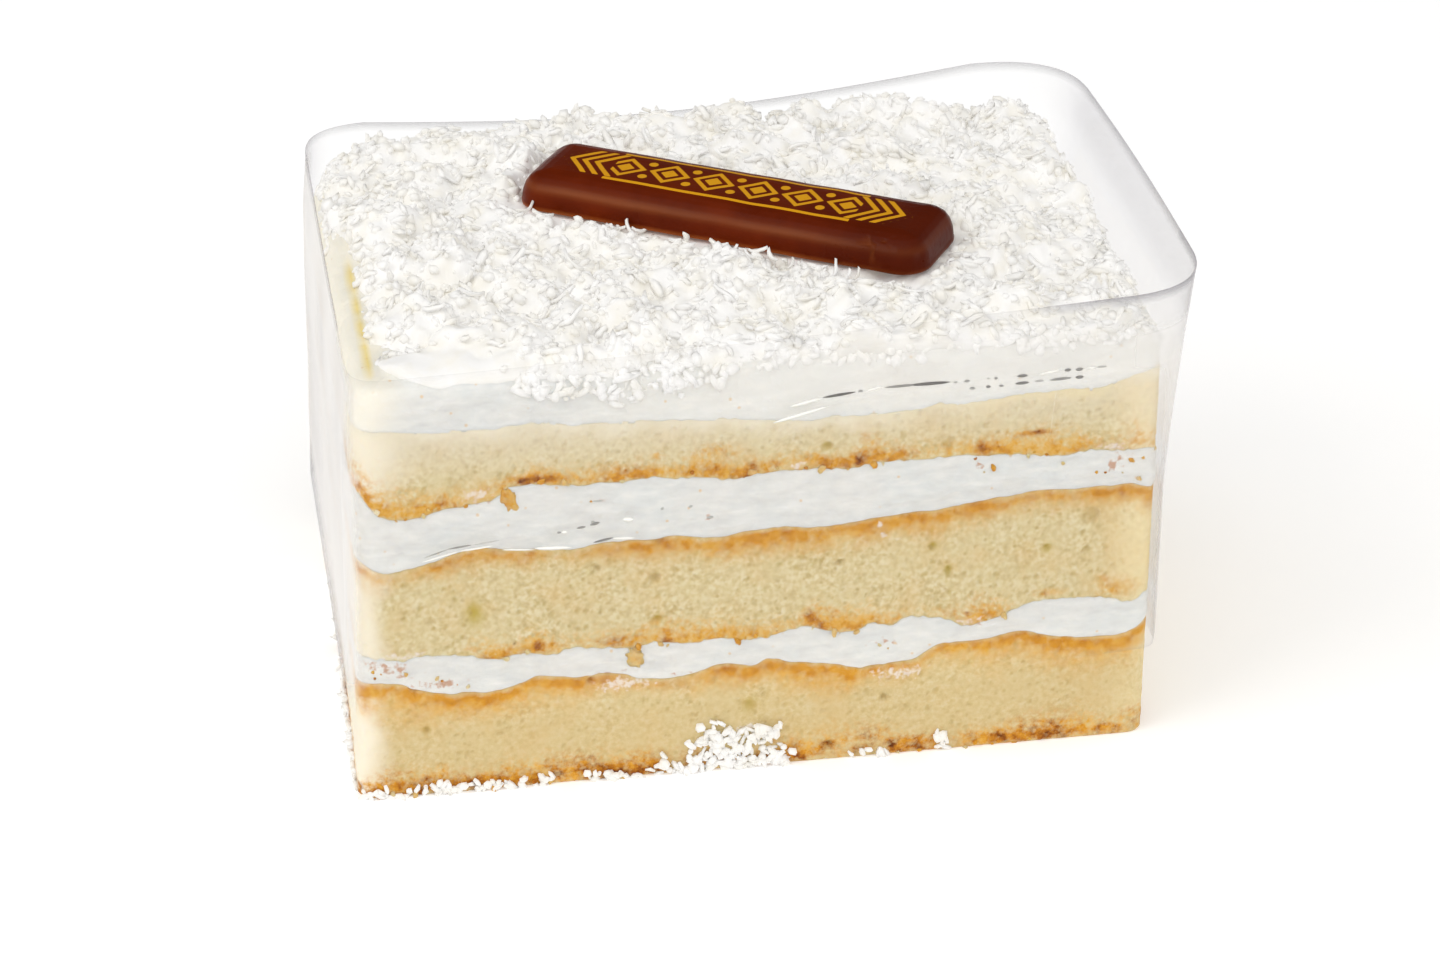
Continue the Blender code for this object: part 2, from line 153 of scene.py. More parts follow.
print("cream white in linear light:", [round(v, 3) for v in paint("#F1EFEA")])

# %% The room's walls
FAR_WALL = Vector((0.14, 0.86, 0.49))
WALL_GLOW, FAR_GLOW = 0.76, 0.12
world = bpy.data.worlds.new("studio")
world.use_nodes = True
tree = world.node_tree
gaze = add_node(tree, "ShaderNodeTexCoord", out="Generated")
toward = add_node(tree, "ShaderNodeVectorMath", {0: gaze, 1: FAR_WALL}, "Value", operation="DOT_PRODUCT")
glow = add_node(tree, "ShaderNodeMapRange", {0: toward, 1: 0.60, 2: 0.86, 3: WALL_GLOW, 4: FAR_GLOW},
                interpolation_type="SMOOTHSTEP")
tree.links.new(glow, tree.nodes["Background"].inputs["Strength"])
tree.nodes["Background"].inputs["Color"].default_value = LAMP_WHITE + (1.0,)
bpy.context.scene.world = world
print("the far wall is the dim one, towards", tuple(round(v, 2) for v in FAR_WALL))

# %% [markdown]
# ## Helpers for meshes
#
# All lengths are kept in millimetres until the mesh is written. Each finished piece rides on the one
# body, hides the CAD part that it replaces, and carries its material.

# %% Build a mesh, and give it an attribute
def new_piece(name, points, faces, finish, attributes=None, smooth=True):
    """An object from points in millimetres and faces, with one float attribute per given name."""
    mesh = bpy.data.meshes.new(name)
    mesh.from_pydata((np.asarray(points) * MM).tolist(), [], faces)
    for key, values in (attributes or {}).items():
        mesh.attributes.new(key, "FLOAT", "POINT").data.foreach_set("value", np.asarray(values, np.float32))
    mesh.materials.append(finish)
    mesh.update()
    if smooth:
        mesh.shade_smooth()
    piece = bpy.data.objects.new(name, mesh)
    bpy.context.scene.collection.objects.link(piece)
    return piece


def dress(piece, node):
    """Makes a piece ride on the slice in place of a CAD part."""
    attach(piece, "root")
    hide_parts(node)


def smooth_step(low, high, value):
    """Rises gently from 0 at low to 1 at high, or falls where high is the lower one."""
    t = np.clip((value - low) / (high - low), 0, 1)
    return t * t * (3 - 2 * t)


def band(below, above):
    """The faces between two closed rings, which are given as the numbers of their points."""
    return np.stack([below, np.roll(below, -1), np.roll(above, -1), above], axis=1).tolist()


def wander(points, size, seed):
    """Smooth random values from -1 to 1 at points in mm. They change over a distance of size."""
    side = 32
    table = np.random.default_rng(seed).uniform(-1, 1, (side, side, side))
    place = np.asarray(points, float) / size
    cell = np.floor(place).astype(int)
    blend = place - cell
    blend = blend * blend * (3 - 2 * blend)
    total = np.zeros(len(place))
    for corner in np.ndindex(2, 2, 2):
        share = np.prod(np.where(np.array(corner) == 1, blend, 1 - blend), axis=1)
        i, j, k = ((cell + corner) % side).T
        total += share * table[i, j, k]
    return total


print("a sample of the wander:", np.round(wander([[0, 0, 0], [3, 1, 0]], 2.0, 1), 2))

# %% [markdown]
# ## The block of cake
#
# The slice is 100 mm long and 69 mm deep. Its left side is cut askew, so the outline changes with
# height. The layers meet along seams whose heights were read off the cut face in the photograph, as pairs
# of x and z in mm. The CAD part has nine such pairs to a seam. Here there are more, and small waves
# on top, because a knife, a spatula and soft cream never leave a smooth line.

# %% Outline and seams
LENGTH, DEPTH = 100.0, 69.0
FRONT, BACK, RIGHT = -DEPTH / 2, DEPTH / 2, LENGTH / 2
# How far the left side leans in, at even steps up to LEAN_TOP, in front and at the back
LEAN_TOP = 60.0
LEAN = [0.3, 0.6, 0.9, 1.2, 1.3, 1.6, 2.4]
BACK_LEAN = [2.2, 2.0, 1.8, 1.6, 1.8, 2.0, 2.4]
# The left corners' radius at the foot and at the top, and the right corners' radius
LEFT_CORNER = 2.5, 4.0
RIGHT_CORNER = 2.6
SEAMS = {
    "table": [(-50, 0), (50, 0)],
    "one": [(-50, 17), (-46.5, 16.7), (-43.7, 16.4), (-42.4, 15.5), (-40.1, 14.9), (-36, 14.4),
            (-33.3, 14.1), (-31.3, 14.4), (-28.7, 15.3), (-26.9, 16), (-22.8, 15.1), (-18.3, 15.5),
            (-16, 15.2), (-14.6, 14.3), (-10.1, 14), (-7.8, 14.5), (-6.3, 15.2), (-4.2, 15.5), (0, 14.8),
            (1.3, 15.9), (3.1, 15.5), (4.5, 14.9), (9, 14.2), (13.1, 13.4), (18.7, 13.5), (20.4, 13.7),
            (21.7, 14.9), (23.1, 15.8), (28.5, 16), (33.5, 16.8), (35.8, 16.1), (37.5, 15.4), (42.6, 14.9),
            (46.3, 14.9), (48.1, 15.5), (50, 17)],
    "two": [(-50, 20.1), (-45.5, 19.6), (-43.7, 19.1), (-41.9, 19.6), (-35.5, 19.3), (-33.7, 18.7),
            (-31.5, 18.4), (-27.4, 19), (-26.2, 18.4), (-22.8, 19), (-15.1, 18.5), (-12.5, 19),
            (-7.8, 18.3), (-5.1, 19), (-1.9, 18.2), (1.7, 18.3), (3.1, 19.2), (6.3, 19.4), (10.8, 18.2),
            (12.6, 17.8), (14, 19), (17.2, 18.5), (18.7, 19.6), (21.7, 19.4), (24.5, 18.7), (26.3, 17.7),
            (28.5, 17.7), (30.8, 18.5), (32.6, 19.6), (34.9, 20.3), (39.9, 20.5), (43.7, 19.9), (47.2, 19),
            (49, 20.1), (50, 20.2)],
    "three": [(-50, 34), (-48.3, 33.5), (-46.9, 32.4), (-45.5, 32.1), (-41.9, 32.5), (-38.7, 33.4),
              (-35.5, 34.4), (-33.7, 34.6), (-31.3, 34.2), (-25, 33.5), (-22.8, 33.4), (-17.4, 34),
              (-10.1, 34), (-6.3, 33.3), (-4.2, 33.3), (0, 34.1), (3.5, 34), (9, 33.6), (14.5, 34.2),
              (18.7, 34.7), (25, 35), (31.2, 35.9), (34.9, 36.5), (39.9, 36.1), (46.3, 36.5), (48.1, 35.8),
              (50, 35.1)],
    "four": [(-50, 43), (-48, 42.4), (-46.5, 40.3), (-45.1, 39), (-41.9, 38.7), (-40.1, 39), (-38.7, 39.7),
             (-35.1, 40.1), (-31.5, 40.5), (-30.1, 42.2), (-26.5, 42.5), (-23.3, 41.9), (-21, 41.5),
             (-12.5, 41.9), (-6.3, 41.5), (-4.2, 41), (0, 41.3), (6.3, 41.5), (11.3, 41.1), (14.5, 41.8),
             (18.7, 41.5), (25, 41.8), (29, 41.4), (33.5, 41.1), (37.5, 40.5), (41.7, 41), (48.1, 40.5),
             (50, 40.2)],
    "five": [(-50, 51.6), (-43.7, 51), (-37.5, 50.6), (-31.3, 50.6), (-26, 51), (-22.8, 50.3), (-12.5, 50),
             (-6.3, 49.6), (0, 49), (6, 48.6), (12, 48.5), (18.7, 48.5), (21.7, 49.2), (25, 48.8),
             (31.2, 49.6), (37.5, 50.1), (42, 49.9), (44.5, 50.6), (47, 51.5), (50, 52.3)],
    "roof": [(-50, 56.6), (50, 56.6)],
}
print("pairs in each seam:", {name: len(pairs) for name, pairs in SEAMS.items()})


# %% Read a seam and go round the block
def along(stations, part):
    """The eased value at a part, 0 to 1, of the way along evenly spaced stations."""
    place = np.clip(part, 0, 1) * (len(stations) - 1)
    first = np.minimum(place.astype(int), len(stations) - 2)
    blend = smooth_step(0, 1, place - first)
    stations = np.asarray(stations, float)
    return stations[first] * (1 - blend) + stations[first + 1] * blend


def read_off(pairs, x):
    """The value at x along a line of pairs of x and value, its corners a little rounded."""
    places, values = zip(*pairs)
    return sum(share * np.interp(x + shift, places, values)
               for shift, share in ((-0.6, 0.25), (0, 0.5), (0.6, 0.25)))


def left_edge(z, y):
    """Where the cake's left side stands at a height and a depth."""
    part = np.asarray(z / LEAN_TOP, float)
    front, back = along(LEAN, part), along(BACK_LEAN, part)
    return -LENGTH / 2 + front + (back - front) * (y / DEPTH + 0.5)


def rounded_loop(corners, radii, sags, steps, corner_steps):
    """A closed loop round four corners, counter-clockwise, each side bent by its sag, as rows of x, y, z."""
    points = []
    corners = [np.asarray(c, float) for c in corners]
    for i, corner in enumerate(corners):
        after, before = corners[(i + 1) % 4], corners[i - 1]
        arrive = corner + (before - corner) / np.linalg.norm(before - corner) * radii[i]
        leave = corner + (after - corner) / np.linalg.norm(after - corner) * radii[i]
        stop = after + (corner - after) / np.linalg.norm(corner - after) * radii[(i + 1) % 4]
        t = (np.arange(corner_steps) / corner_steps)[:, None]
        points.append(arrive * (1 - t) ** 2 + corner * 2 * t * (1 - t) + leave * t * t)
        t = (np.arange(steps[i]) / steps[i])[:, None]
        points.append(leave + (stop - leave) * t + np.asarray(sags[i], float) * np.sin(math.pi * t))
    return np.vstack(points)


def block_loop(z, steps):
    """The outline of the cake at a height, with so many steps along each side."""
    corners = [(left_edge(z, FRONT), FRONT, 0), (RIGHT, FRONT, 0),
               (RIGHT, BACK, 0), (left_edge(z, BACK), BACK, 0)]
    left = LEFT_CORNER[0] + (LEFT_CORNER[1] - LEFT_CORNER[0]) * float(smooth_step(0, LEAN_TOP, z))
    return rounded_loop(corners, [left, RIGHT_CORNER, RIGHT_CORNER, left], [(0, 0, 0)] * 4, steps, 10)


def outward(loop):
    """The horizontal direction out of a counter-clockwise loop at each of its points."""
    way = np.roll(loop, -1, axis=0) - np.roll(loop, 1, axis=0)
    out = np.stack([way[:, 1], -way[:, 0], np.zeros(len(loop))], axis=1)
    return out / np.linalg.norm(out, axis=1)[:, None]


def seam(name, x, y, waves=0.0):
    """Height of a seam: its stations at the cut face, a slow wander further back, and small waves."""
    front = read_off(SEAMS[name], x)
    if name == "table":
        return front
    slow = 0
    if name != "roof":
        slow = np.array([noise.noise(Vector((a, b, c * 9)) / 24) for a, b, c in zip(x, y, front)])
    spots = np.stack([x, y, np.full(len(x), 7.0)], axis=1)
    seed = list(SEAMS).index(name)
    # Seams under a torn skin are ragged as well as wavy
    ragged = 0.9 if name in ("two", "four") else 0.3
    return front + 1.6 * slow * (y / DEPTH + 0.5) + waves * (
        wander(spots, 3.2, seed) + 0.6 * wander(spots, 1.3, seed + 20) + ragged * wander(spots, 0.7, seed + 40))


def drawn_in(x, y):
    """How far the back left corner of the top coat draws in from the collar, in mm."""
    return 2.0 * smooth_step(-2, 26, y) * (1 - smooth_step(-50, -36, x))


print("points in the outline:", len(block_loop(20.0, (340, 180, 250, 180))))

# %% [markdown]
# ## Vanilla sponge
#
# Vanilla sponge is an egg foam set by baking: pale yellow inside, full of pores between 0.3 and 2 mm,
# and orange brown where it touched the tin or the hot air. Light goes a little way into it, which
# softens every shadow. The colour reads seven values that each sponge's mesh carries: whether a point is
# in a pore or in an air hole, how pale it is, how much cream is wiped on it, how much browned skin it
# has, how darkly that is baked, and how loose it is.

# %% Finish of the sponge
def sponge_finish():
    finish, tree, shader, place, pore, dent, pale, crust, bake, loose, wiped = new_finish(
        "vanilla_sponge", ("pore", "dent", "pale", "crust", "bake", "loose", "wiped"), Roughness=0.85,
        Specular_IOR_Level=0.2, Subsurface_Weight=0.25, Subsurface_Radius=(1.0, 0.7, 0.4),
        Subsurface_Scale=1.2 * MM)
    x, _, height = add_node(tree, "ShaderNodeSeparateXYZ", {0: place}).node.outputs
    # Noises, each with its size in mm, its detail and its roughness
    grain, mottle, warmth, broken, patch, smear, fine = [
        add_node(tree, "ShaderNodeTexNoise", {
            "Vector": place, "Scale": 1 / (size * MM), "Detail": detail, "Roughness": rough})
        for size, detail, rough in ((0.7, 5, 0.6), (4, 3, 0.5), (6, 4, 0.5), (0.8, 6, 0.65), (1.5, 5, 0.65),
                                    (0.8, 4, 0.6), (0.5, 4, 0.5))]
    bubble = add_node(tree, "ShaderNodeTexVoronoi", {"Vector": place, "Scale": 1 / (1.7 * MM)})
    broken, patch, smear = [add_node(tree, "ShaderNodeMath", {0: value, 1: 0.5}, operation="SUBTRACT")
                            for value in (broken, patch, smear)]
    # Skin that faced the tin is loose: it breaks into grains, and its tone varies more
    skin = add_node(tree, "ShaderNodeMath", {0: broken, 1: loose, 2: crust}, operation="MULTIPLY_ADD")
    vary = add_node(tree, "ShaderNodeMath", {0: loose, 1: 0.45, 2: 0.6}, operation="MULTIPLY_ADD")
    patch = add_node(tree, "ShaderNodeMath", {0: patch, 1: vary}, operation="MULTIPLY")
    tone = add_node(tree, "ShaderNodeMath", {0: patch, 1: bake}, operation="ADD")
    smear = add_node(tree, "ShaderNodeMath", {0: smear, 1: 2.2, 2: wiped}, operation="MULTIPLY_ADD")
    # The crumb's grains go from straw to cream, and its skin from straw through orange to dark brown
    grains, browns = [add_node(tree, "ShaderNodeValToRGB", {0: value}) for value in (grain, tone)]
    for ramp, colours in ((grains, {0.34: "#C8B27E", 0.5: "#DCCA9A", 0.66: "#E9DDBA"}),
                          (browns, {0.04: "#E4BB6E", 0.22: "#E1AC4A", 0.40: "#D59731", 0.58: "#BF7C24",
                                    0.76: "#93531A", 0.95: "#582A0E"})):
        stops = ramp.node.color_ramp.elements
        positions = list(colours)
        stops[0].position, stops[1].position = positions[0], positions[-1]
        for position in positions[1:-1]:
            stops.new(position)
        for stop, code in zip(stops, colours.values()):
            stop.color = paint(code)
    cream = coats(tree, paint("#F5ECD6"), [(x, (10 * MM, 40 * MM, 1), "#F6E4B6")])
    colour = coats(tree, grains, [
        (mottle, (0.32, 0.68, 0.6), "#DECEA0"),
        # Painted shade: pores and air holes are painted darker, where shade falls in them
        (pore, None, "#C5AF71"),
        (dent, None, "#C5AD4A"),
        # Painted shade in fine open bubbles, 0.4 mm across
        (bubble, (0.20, 0.08, 0.5), "#B4995A"),
        # Clouds where the crumb baked a little more
        (warmth, (0.5, 0.7, 0.35), "#E0BC7D"),
        # Painted shade: the foot of the slice, below the collar's foot, is painted a shade deeper, and its top
        # is paler
        (height, (15 * MM, 9 * MM, 0.5), "#CDB480"),
        (height, (43 * MM, 49.5 * MM, 0.65), "#E6DCC6"),
        # Paler at the two ends, and cream where the knife drew the top coat over the top sponge's edge; nearly
        # white at the left and yellower at the right
        (pale, None, cream),
        (skin, (0.06, 0.94, 1), browns),
        # Cream that the knife wiped over the crumb, in broken films
        (smear, (0.5, 0.85, 0.8), "#EFE5DC")])
    set_surface(tree, shader, colour, fine, 0.25, 0.2)
    return finish


SPONGE = sponge_finish()
print("sponge nodes:", len(SPONGE.node_tree.nodes))

# %% [markdown]
# ## Whipped cream
#
# Whipped cream is milk fat that holds air. It is nearly white with a faint warm tone, scatters light
# strongly, and has a soft wet gloss. A spatula leaves shallow strokes, which are in the mesh, and tiny
# bubbles, which are a bump. Where the knife dragged crumbs through it, it is stained yellow.

# %% Finish of the cream
def cream_finish():
    finish, tree, shader, place, pale, stain, crumbed = new_finish(
        "whipped_cream", ("pale", "stain", "crumbed"), Roughness=0.45, Subsurface_Weight=0.35,
        Subsurface_Radius=(1.0, 0.9, 0.75), Subsurface_Scale=1.5 * MM)
    long = add_node(tree, "ShaderNodeVectorMath", {0: place, 1: (0.35, 0.35, 1.0)}, operation="MULTIPLY")
    cloud, smear, dust, bubble = [
        add_node(tree, "ShaderNodeTexNoise", {
            "Vector": spot, "Scale": 1 / (size * MM), "Detail": detail, "Roughness": rough})
        for spot, size, detail, rough in (
            (place, 7, 3, 0.5), (long, 1.2, 5, 0.65), (place, 1.1, 4, 0.6), (place, 0.9, 4, 0.5))]
    rare = add_node(tree, "ShaderNodeMapRange", {0: crumbed, 3: 0.3, 4: 0.0})
    dust = add_node(tree, "ShaderNodeMath", {0: dust, 1: rare}, operation="SUBTRACT")
    crumb = add_node(tree, "ShaderNodeTexVoronoi", {"Vector": place, "Scale": 1 / (2.6 * MM)})
    colour = coats(tree, paint("#E2E4E1"), [
        (cloud, (0.35, 0.65, 1), "#E6E5E0"),
        # Spatula smears, long and thin, lighter and darker
        (smear, (0.48, 0.68, 0.9), "#F0EFEA"),
        (smear, (0.46, 0.32, 0.6), "#D8D7D4"),
        # Paler at the top coat's left end, and painted light that lifts its right part
        (pale, None, "#F8F4EA"),
        (stain, None, "#F7E092"),
        # Crumbs 0.5 mm across that the knife dragged in, in clusters, and a few single ones
        (dust, (0.46, 0.58, 0.8), "#C38D66"),
        (crumb, (0.10, 0.05, 0.6), "#E5BF83")])
    set_surface(tree, shader, colour, bubble, 0.5, 0.3)
    return finish


CREAM = cream_finish()
print("cream nodes:", len(CREAM.node_tree.nodes))

# %% [markdown]
# ## Relief with Geometry Nodes
#
# Pores, lumps and spatula strokes all follow a surface, so one node tree carves them. It pushes each
# point along the direction "out" that the mesh carries. Pores are the round cells of a Voronoi pattern,
# each with its own size. Lumps are noise, stretched along the layer for cream. The same tree serves
# sponge and cream with other sizes.

# %% Start, close and run a tree
def new_tree(name, numbers, seeds=()):
    """A Geometry Nodes tree with named inputs, returned with the sockets that hand them in."""
    tree = bpy.data.node_groups.new(name, "GeometryNodeTree")
    tree.interface.new_socket("Geometry", in_out="OUTPUT", socket_type="NodeSocketGeometry")
    for label, kind in [("Geometry", "Geometry"), *((label, "Float") for label in numbers),
                        *((label, "Int") for label in seeds), ("Finish", "Material")]:
        tree.interface.new_socket(label, in_out="INPUT", socket_type="NodeSocket" + kind)
    return tree, tree.nodes.new("NodeGroupInput").outputs


def close_tree(tree, given, geometry):
    """Makes what a tree built real, gives it its finish, and hands it out."""
    real = add_node(tree, "GeometryNodeRealizeInstances", {"Geometry": geometry})
    done = add_node(tree, "GeometryNodeSetMaterial", {"Geometry": real, "Material": given["Finish"]})
    add_node(tree, "NodeGroupOutput", {0: done})
    return tree


def grow(piece, tree, settings):
    """Runs a node tree on a piece with these inputs, and keeps the result as the piece's plain mesh."""
    modifier = piece.modifiers.new(tree.name, "NODES")
    modifier.node_group = tree
    for item in tree.interface.items_tree:
        if item.in_out == "INPUT" and item.name in settings:
            modifier[item.identifier] = settings[item.name]
    bpy.context.view_layer.update()
    seen = piece.evaluated_get(bpy.context.evaluated_depsgraph_get())
    mesh = bpy.data.meshes.new_from_object(seen)
    piece.modifiers.clear()
    piece.data = mesh
    mesh.shade_smooth()
    mesh.calc_loop_triangles()
    print(piece.name, "has", len(mesh.loop_triangles), "triangles")
    return piece


print("a tree is run by", grow.__name__, "after", new_tree.__name__, "and", close_tree.__name__)


# %% The relief tree
def relief_tree():
    tree, given = new_tree("surface_relief", (
        "Pore Size", "Pore Depth", "Hole Size", "Hole Depth", "Lump Size", "Lump Depth", "Stretch"))
    place = add_node(tree, "GeometryNodeInputPosition")
    hold = add_node(tree, "GeometryNodeInputNamedAttribute", {"Name": "hold"}, "Attribute", data_type="FLOAT")
    out = add_node(tree, "GeometryNodeInputNamedAttribute", {"Name": "out"}, "Attribute",
                   data_type="FLOAT_VECTOR")
    # Bend space a little, so that pores aren't round
    bend = add_node(tree, "ShaderNodeTexNoise", {"Vector": place, "Scale": 1 / (1.4 * MM)}, "Color")
    bend = add_node(tree, "ShaderNodeVectorMath", {0: bend, 1: (0.5, 0.5, 0.5)}, operation="SUBTRACT")
    bend = add_node(tree, "ShaderNodeVectorMath", {0: bend, "Scale": 1.1 * MM}, operation="SCALE")
    bent = add_node(tree, "ShaderNodeVectorMath", {0: place, 1: bend}, operation="ADD")
    pits = []
    for size, depth, widest, strong in (("Pore Size", "Pore Depth", 0.5, 0.75),
                                        ("Hole Size", "Hole Depth", 0.17, 0.5)):
        # One round pit in each cell, whose radius is a random share of the cell up to the widest
        scale = add_node(tree, "ShaderNodeMath", {0: 1.0, 1: given[size]}, operation="DIVIDE")
        near = add_node(tree, "ShaderNodeTexVoronoi", {"Vector": bent, "Scale": scale}, "Distance")
        chance = add_node(tree, "ShaderNodeSeparateXYZ", {0: near.node.outputs["Color"]})
        chance = add_node(tree, "ShaderNodeMath", {0: chance, 1: 2.5}, operation="POWER")
        radius = add_node(tree, "ShaderNodeMath", {0: chance, 1: widest, 2: 0.04}, operation="MULTIPLY_ADD")
        inner = add_node(tree, "ShaderNodeMath", {0: radius, 1: 0.45}, operation="MULTIPLY")
        pit = add_node(tree, "ShaderNodeMapRange", {0: near, 1: radius, 2: inner, 3: 0.0, 4: 1.0},
                       interpolation_type="SMOOTHSTEP")
        pits.append([add_node(tree, "ShaderNodeMath", {0: pit, 1: factor}, operation="MULTIPLY")
                     for factor in (given[depth], strong)])
    (small_depth, small), (large_depth, large) = pits
    flat = add_node(tree, "ShaderNodeCombineXYZ", {0: given["Stretch"], 1: given["Stretch"], 2: 1.0})
    spot = add_node(tree, "ShaderNodeVectorMath", {0: place, 1: flat}, operation="MULTIPLY")
    scale = add_node(tree, "ShaderNodeMath", {0: 1.0, 1: given["Lump Size"]}, operation="DIVIDE")
    depth = add_node(tree, "ShaderNodeTexNoise", {"Vector": spot, "Scale": scale, "Detail": 3.0})
    # Lumps, less both kinds of pit, and none of it where the mesh holds it back
    for operation, value in (("SUBTRACT", 0.5), ("MULTIPLY", given["Lump Depth"]), ("SUBTRACT", small_depth),
                             ("SUBTRACT", large_depth), ("MULTIPLY", hold)):
        depth = add_node(tree, "ShaderNodeMath", {0: depth, 1: value}, operation=operation)
    shift = add_node(tree, "ShaderNodeVectorMath", {0: out, "Scale": depth}, operation="SCALE")
    # How deep in a pit a point lies is kept as pore, which the sponge paints darker as painted shade
    pore = add_node(tree, "ShaderNodeMath", {0: small, 1: large}, operation="MAXIMUM")
    kept = add_node(tree, "GeometryNodeStoreNamedAttribute",
                    {"Geometry": given["Geometry"], "Name": "pore", "Value": pore},
                    data_type="FLOAT", domain="POINT")
    moved = add_node(tree, "GeometryNodeSetPosition", {"Geometry": kept, "Offset": shift})
    return close_tree(tree, given, moved)


RELIEF = relief_tree()
print("relief nodes:", len(RELIEF.nodes))

# %% [markdown]
# ## One layer of the slice
#
# A layer is a stack of loops from its floor seam to its roof seam, closed by two caps that no one sees.
# Near its two edges the wall curls in, so that a thin shadow lies between neighbours. The browned skin
# is drawn from its thickness along the seam, and noise frays its border.

# %% Build a layer
CAP_SHARES = (0.985, 0.93, 0.7, 0.35)
# A point of the caps counts as this far inside every skin, in mm
CAP_DEPTH = 9.0
# How many points a sponge's and a cream's rings have along each side
FINE, COARSE = (360, 170, 250, 170), (300, 140, 200, 140)


def layer(name, seams, finish, rows, steps, waves, curls, skins=None, reach=0.0, bulge=0.0):
    """A closed layer. Curls round its two edges, reach carries it past the seams, bulge swells its middle."""
    floor, roof = seams
    low, high = (np.mean([z for _, z in SEAMS[edge]]) for edge in seams)

    def heights(loop):
        bottom = seam(floor, loop[:, 0], loop[:, 1], waves[0]) - (reach if floor != "table" else 0)
        top = seam(roof, loop[:, 0], loop[:, 1], waves[1]) + (reach if roof != "roof" else 0)
        return bottom, top

    # Each ring with its way out, how far relief may carve it, and how far it is from the two seams
    stack = []
    for part in np.arange(rows + 1) / rows:
        loop = block_loop(low + (high - low) * part, steps)
        bottom, top = heights(loop)
        edge = np.minimum(part, 1 - part) * (top - bottom)
        curl = curls[0] if part < 0.5 else curls[1]
        turned_in = curl * (1 - np.sqrt(1 - (1 - np.clip(edge / curl, 0, 1)) ** 2))
        inset = turned_in - bulge * math.sin(math.pi * part)
        way = outward(loop)
        ring = loop - way * inset[:, None]
        ring[:, 2] = bottom + (top - bottom) * part
        hold = smooth_step(0, 0.5, edge) if reach else np.full(len(loop), 1.0)
        stack.append((ring, way, hold, np.stack([ring[:, 2] - bottom, top - ring[:, 2]], axis=1)))
    count = len(stack[0][0])
    for share in CAP_SHARES:
        for upper in (0, 1):
            ring = stack[-upper][0] * (share, share, 1)
            ring[:, 2] = heights(ring)[upper]
            stack.insert(upper * len(stack), (
                ring, np.zeros((count, 3)), np.zeros(count), np.full((count, 2), CAP_DEPTH)))
    rings, ways, holds, spans = (list(column) for column in zip(*stack))
    points = np.vstack(rings + [[[0, 0, rings[0][:, 2].mean()], [0, 0, rings[-1][:, 2].mean()]]])
    ways = np.vstack(ways + [np.zeros((2, 3))])
    spans = np.vstack(spans + [[[CAP_DEPTH] * 2] * 2])
    numbers = np.arange(len(rings) * count).reshape(-1, count)
    faces = []
    for below, above in zip(numbers, numbers[1:]):
        faces += band(below, above)
    foot, crown, last = len(points) - 2, len(points) - 1, (len(rings) - 1) * count
    faces += [[(i + 1) % count, i, foot] for i in range(count)]
    faces += [[last + i, last + (i + 1) % count, crown] for i in range(count)]

    dents = blots(points, HOLES)
    points = points - ways * 0.7 * dents[:, None]
    points[:, 0] += drawn_in(points[:, 0], points[:, 1]) * smooth_step(50, 56, points[:, 2])
    values = {"hold": np.concatenate(holds + [[0.0, 0.0]])}
    if skins:
        values["crust"], values["bake"], values["loose"] = browned(points, spans, skins)
        values["dent"] = blots(points, HOLES)
        values["pale"] = np.max(paled(points), axis=0)
        values["wiped"] = 0.8 * blots(points, WIPES)
    else:
        on_top = name == "top_cream"
        values["stain"] = stained(points) * on_top
        # Painted light: the top coat is painted paler from its middle to the right, where less light falls on
        # it
        values["pale"] = np.maximum(paled(points)[0], 0.4 * smooth_step(-30, -12, points[:, 0])) * on_top
        values["crumbed"] = blots(points, CRUMBED)
    piece = new_piece(name, points, faces, finish, values)
    piece.data.attributes.new("out", "FLOAT_VECTOR", "POINT").data.foreach_set(
        "vector", ways.astype(np.float32).ravel())
    return piece


print("a ring of a sponge has", sum(FINE) + 40, "points")

# %% Marks on the cut face
# Cream wiped over the cut face: middle and half size along the face and up, in mm
WIPES = [(-16.5, 13.7, 4.6, 1.3), (18.0, 11.9, 4.2, 1.3), (27.0, 18.4, 2.2, 0.8), (-34.0, 41.6, 2.4, 1.3),
         (5.0, 42.3, 2.0, 0.7), (-44.0, 20.2, 4.0, 0.7), (44.0, 41.6, 2.5, 0.8), (-1.0, 5.5, 2.5, 1.0),
         (15.3, 33.2, 0.5, 0.9), (15.7, 31.8, 0.6, 0.6), (17.3, 31.0, 1.1, 0.4)]
# Cream that is full of fine crumbs
CRUMBED = [(-46.0, 18.2, 5.5, 1.8), (-39.0, 16.0, 4.0, 1.0), (-33.5, 40.6, 2.0, 0.7), (15.5, 16.6, 2.5, 0.7),
           (44.5, 39.4, 2.8, 2.2), (-18.0, 15.4, 3.0, 0.5), (-9.0, 14.6, 2.5, 0.6), (-19.3, 39.6, 1.0, 0.4),
           (-5.7, 36.1, 0.8, 0.6), (-2.0, 19.0, 3.5, 0.6), (27.0, 18.2, 2.5, 0.8), (28.0, 40.5, 2.0, 0.8)]
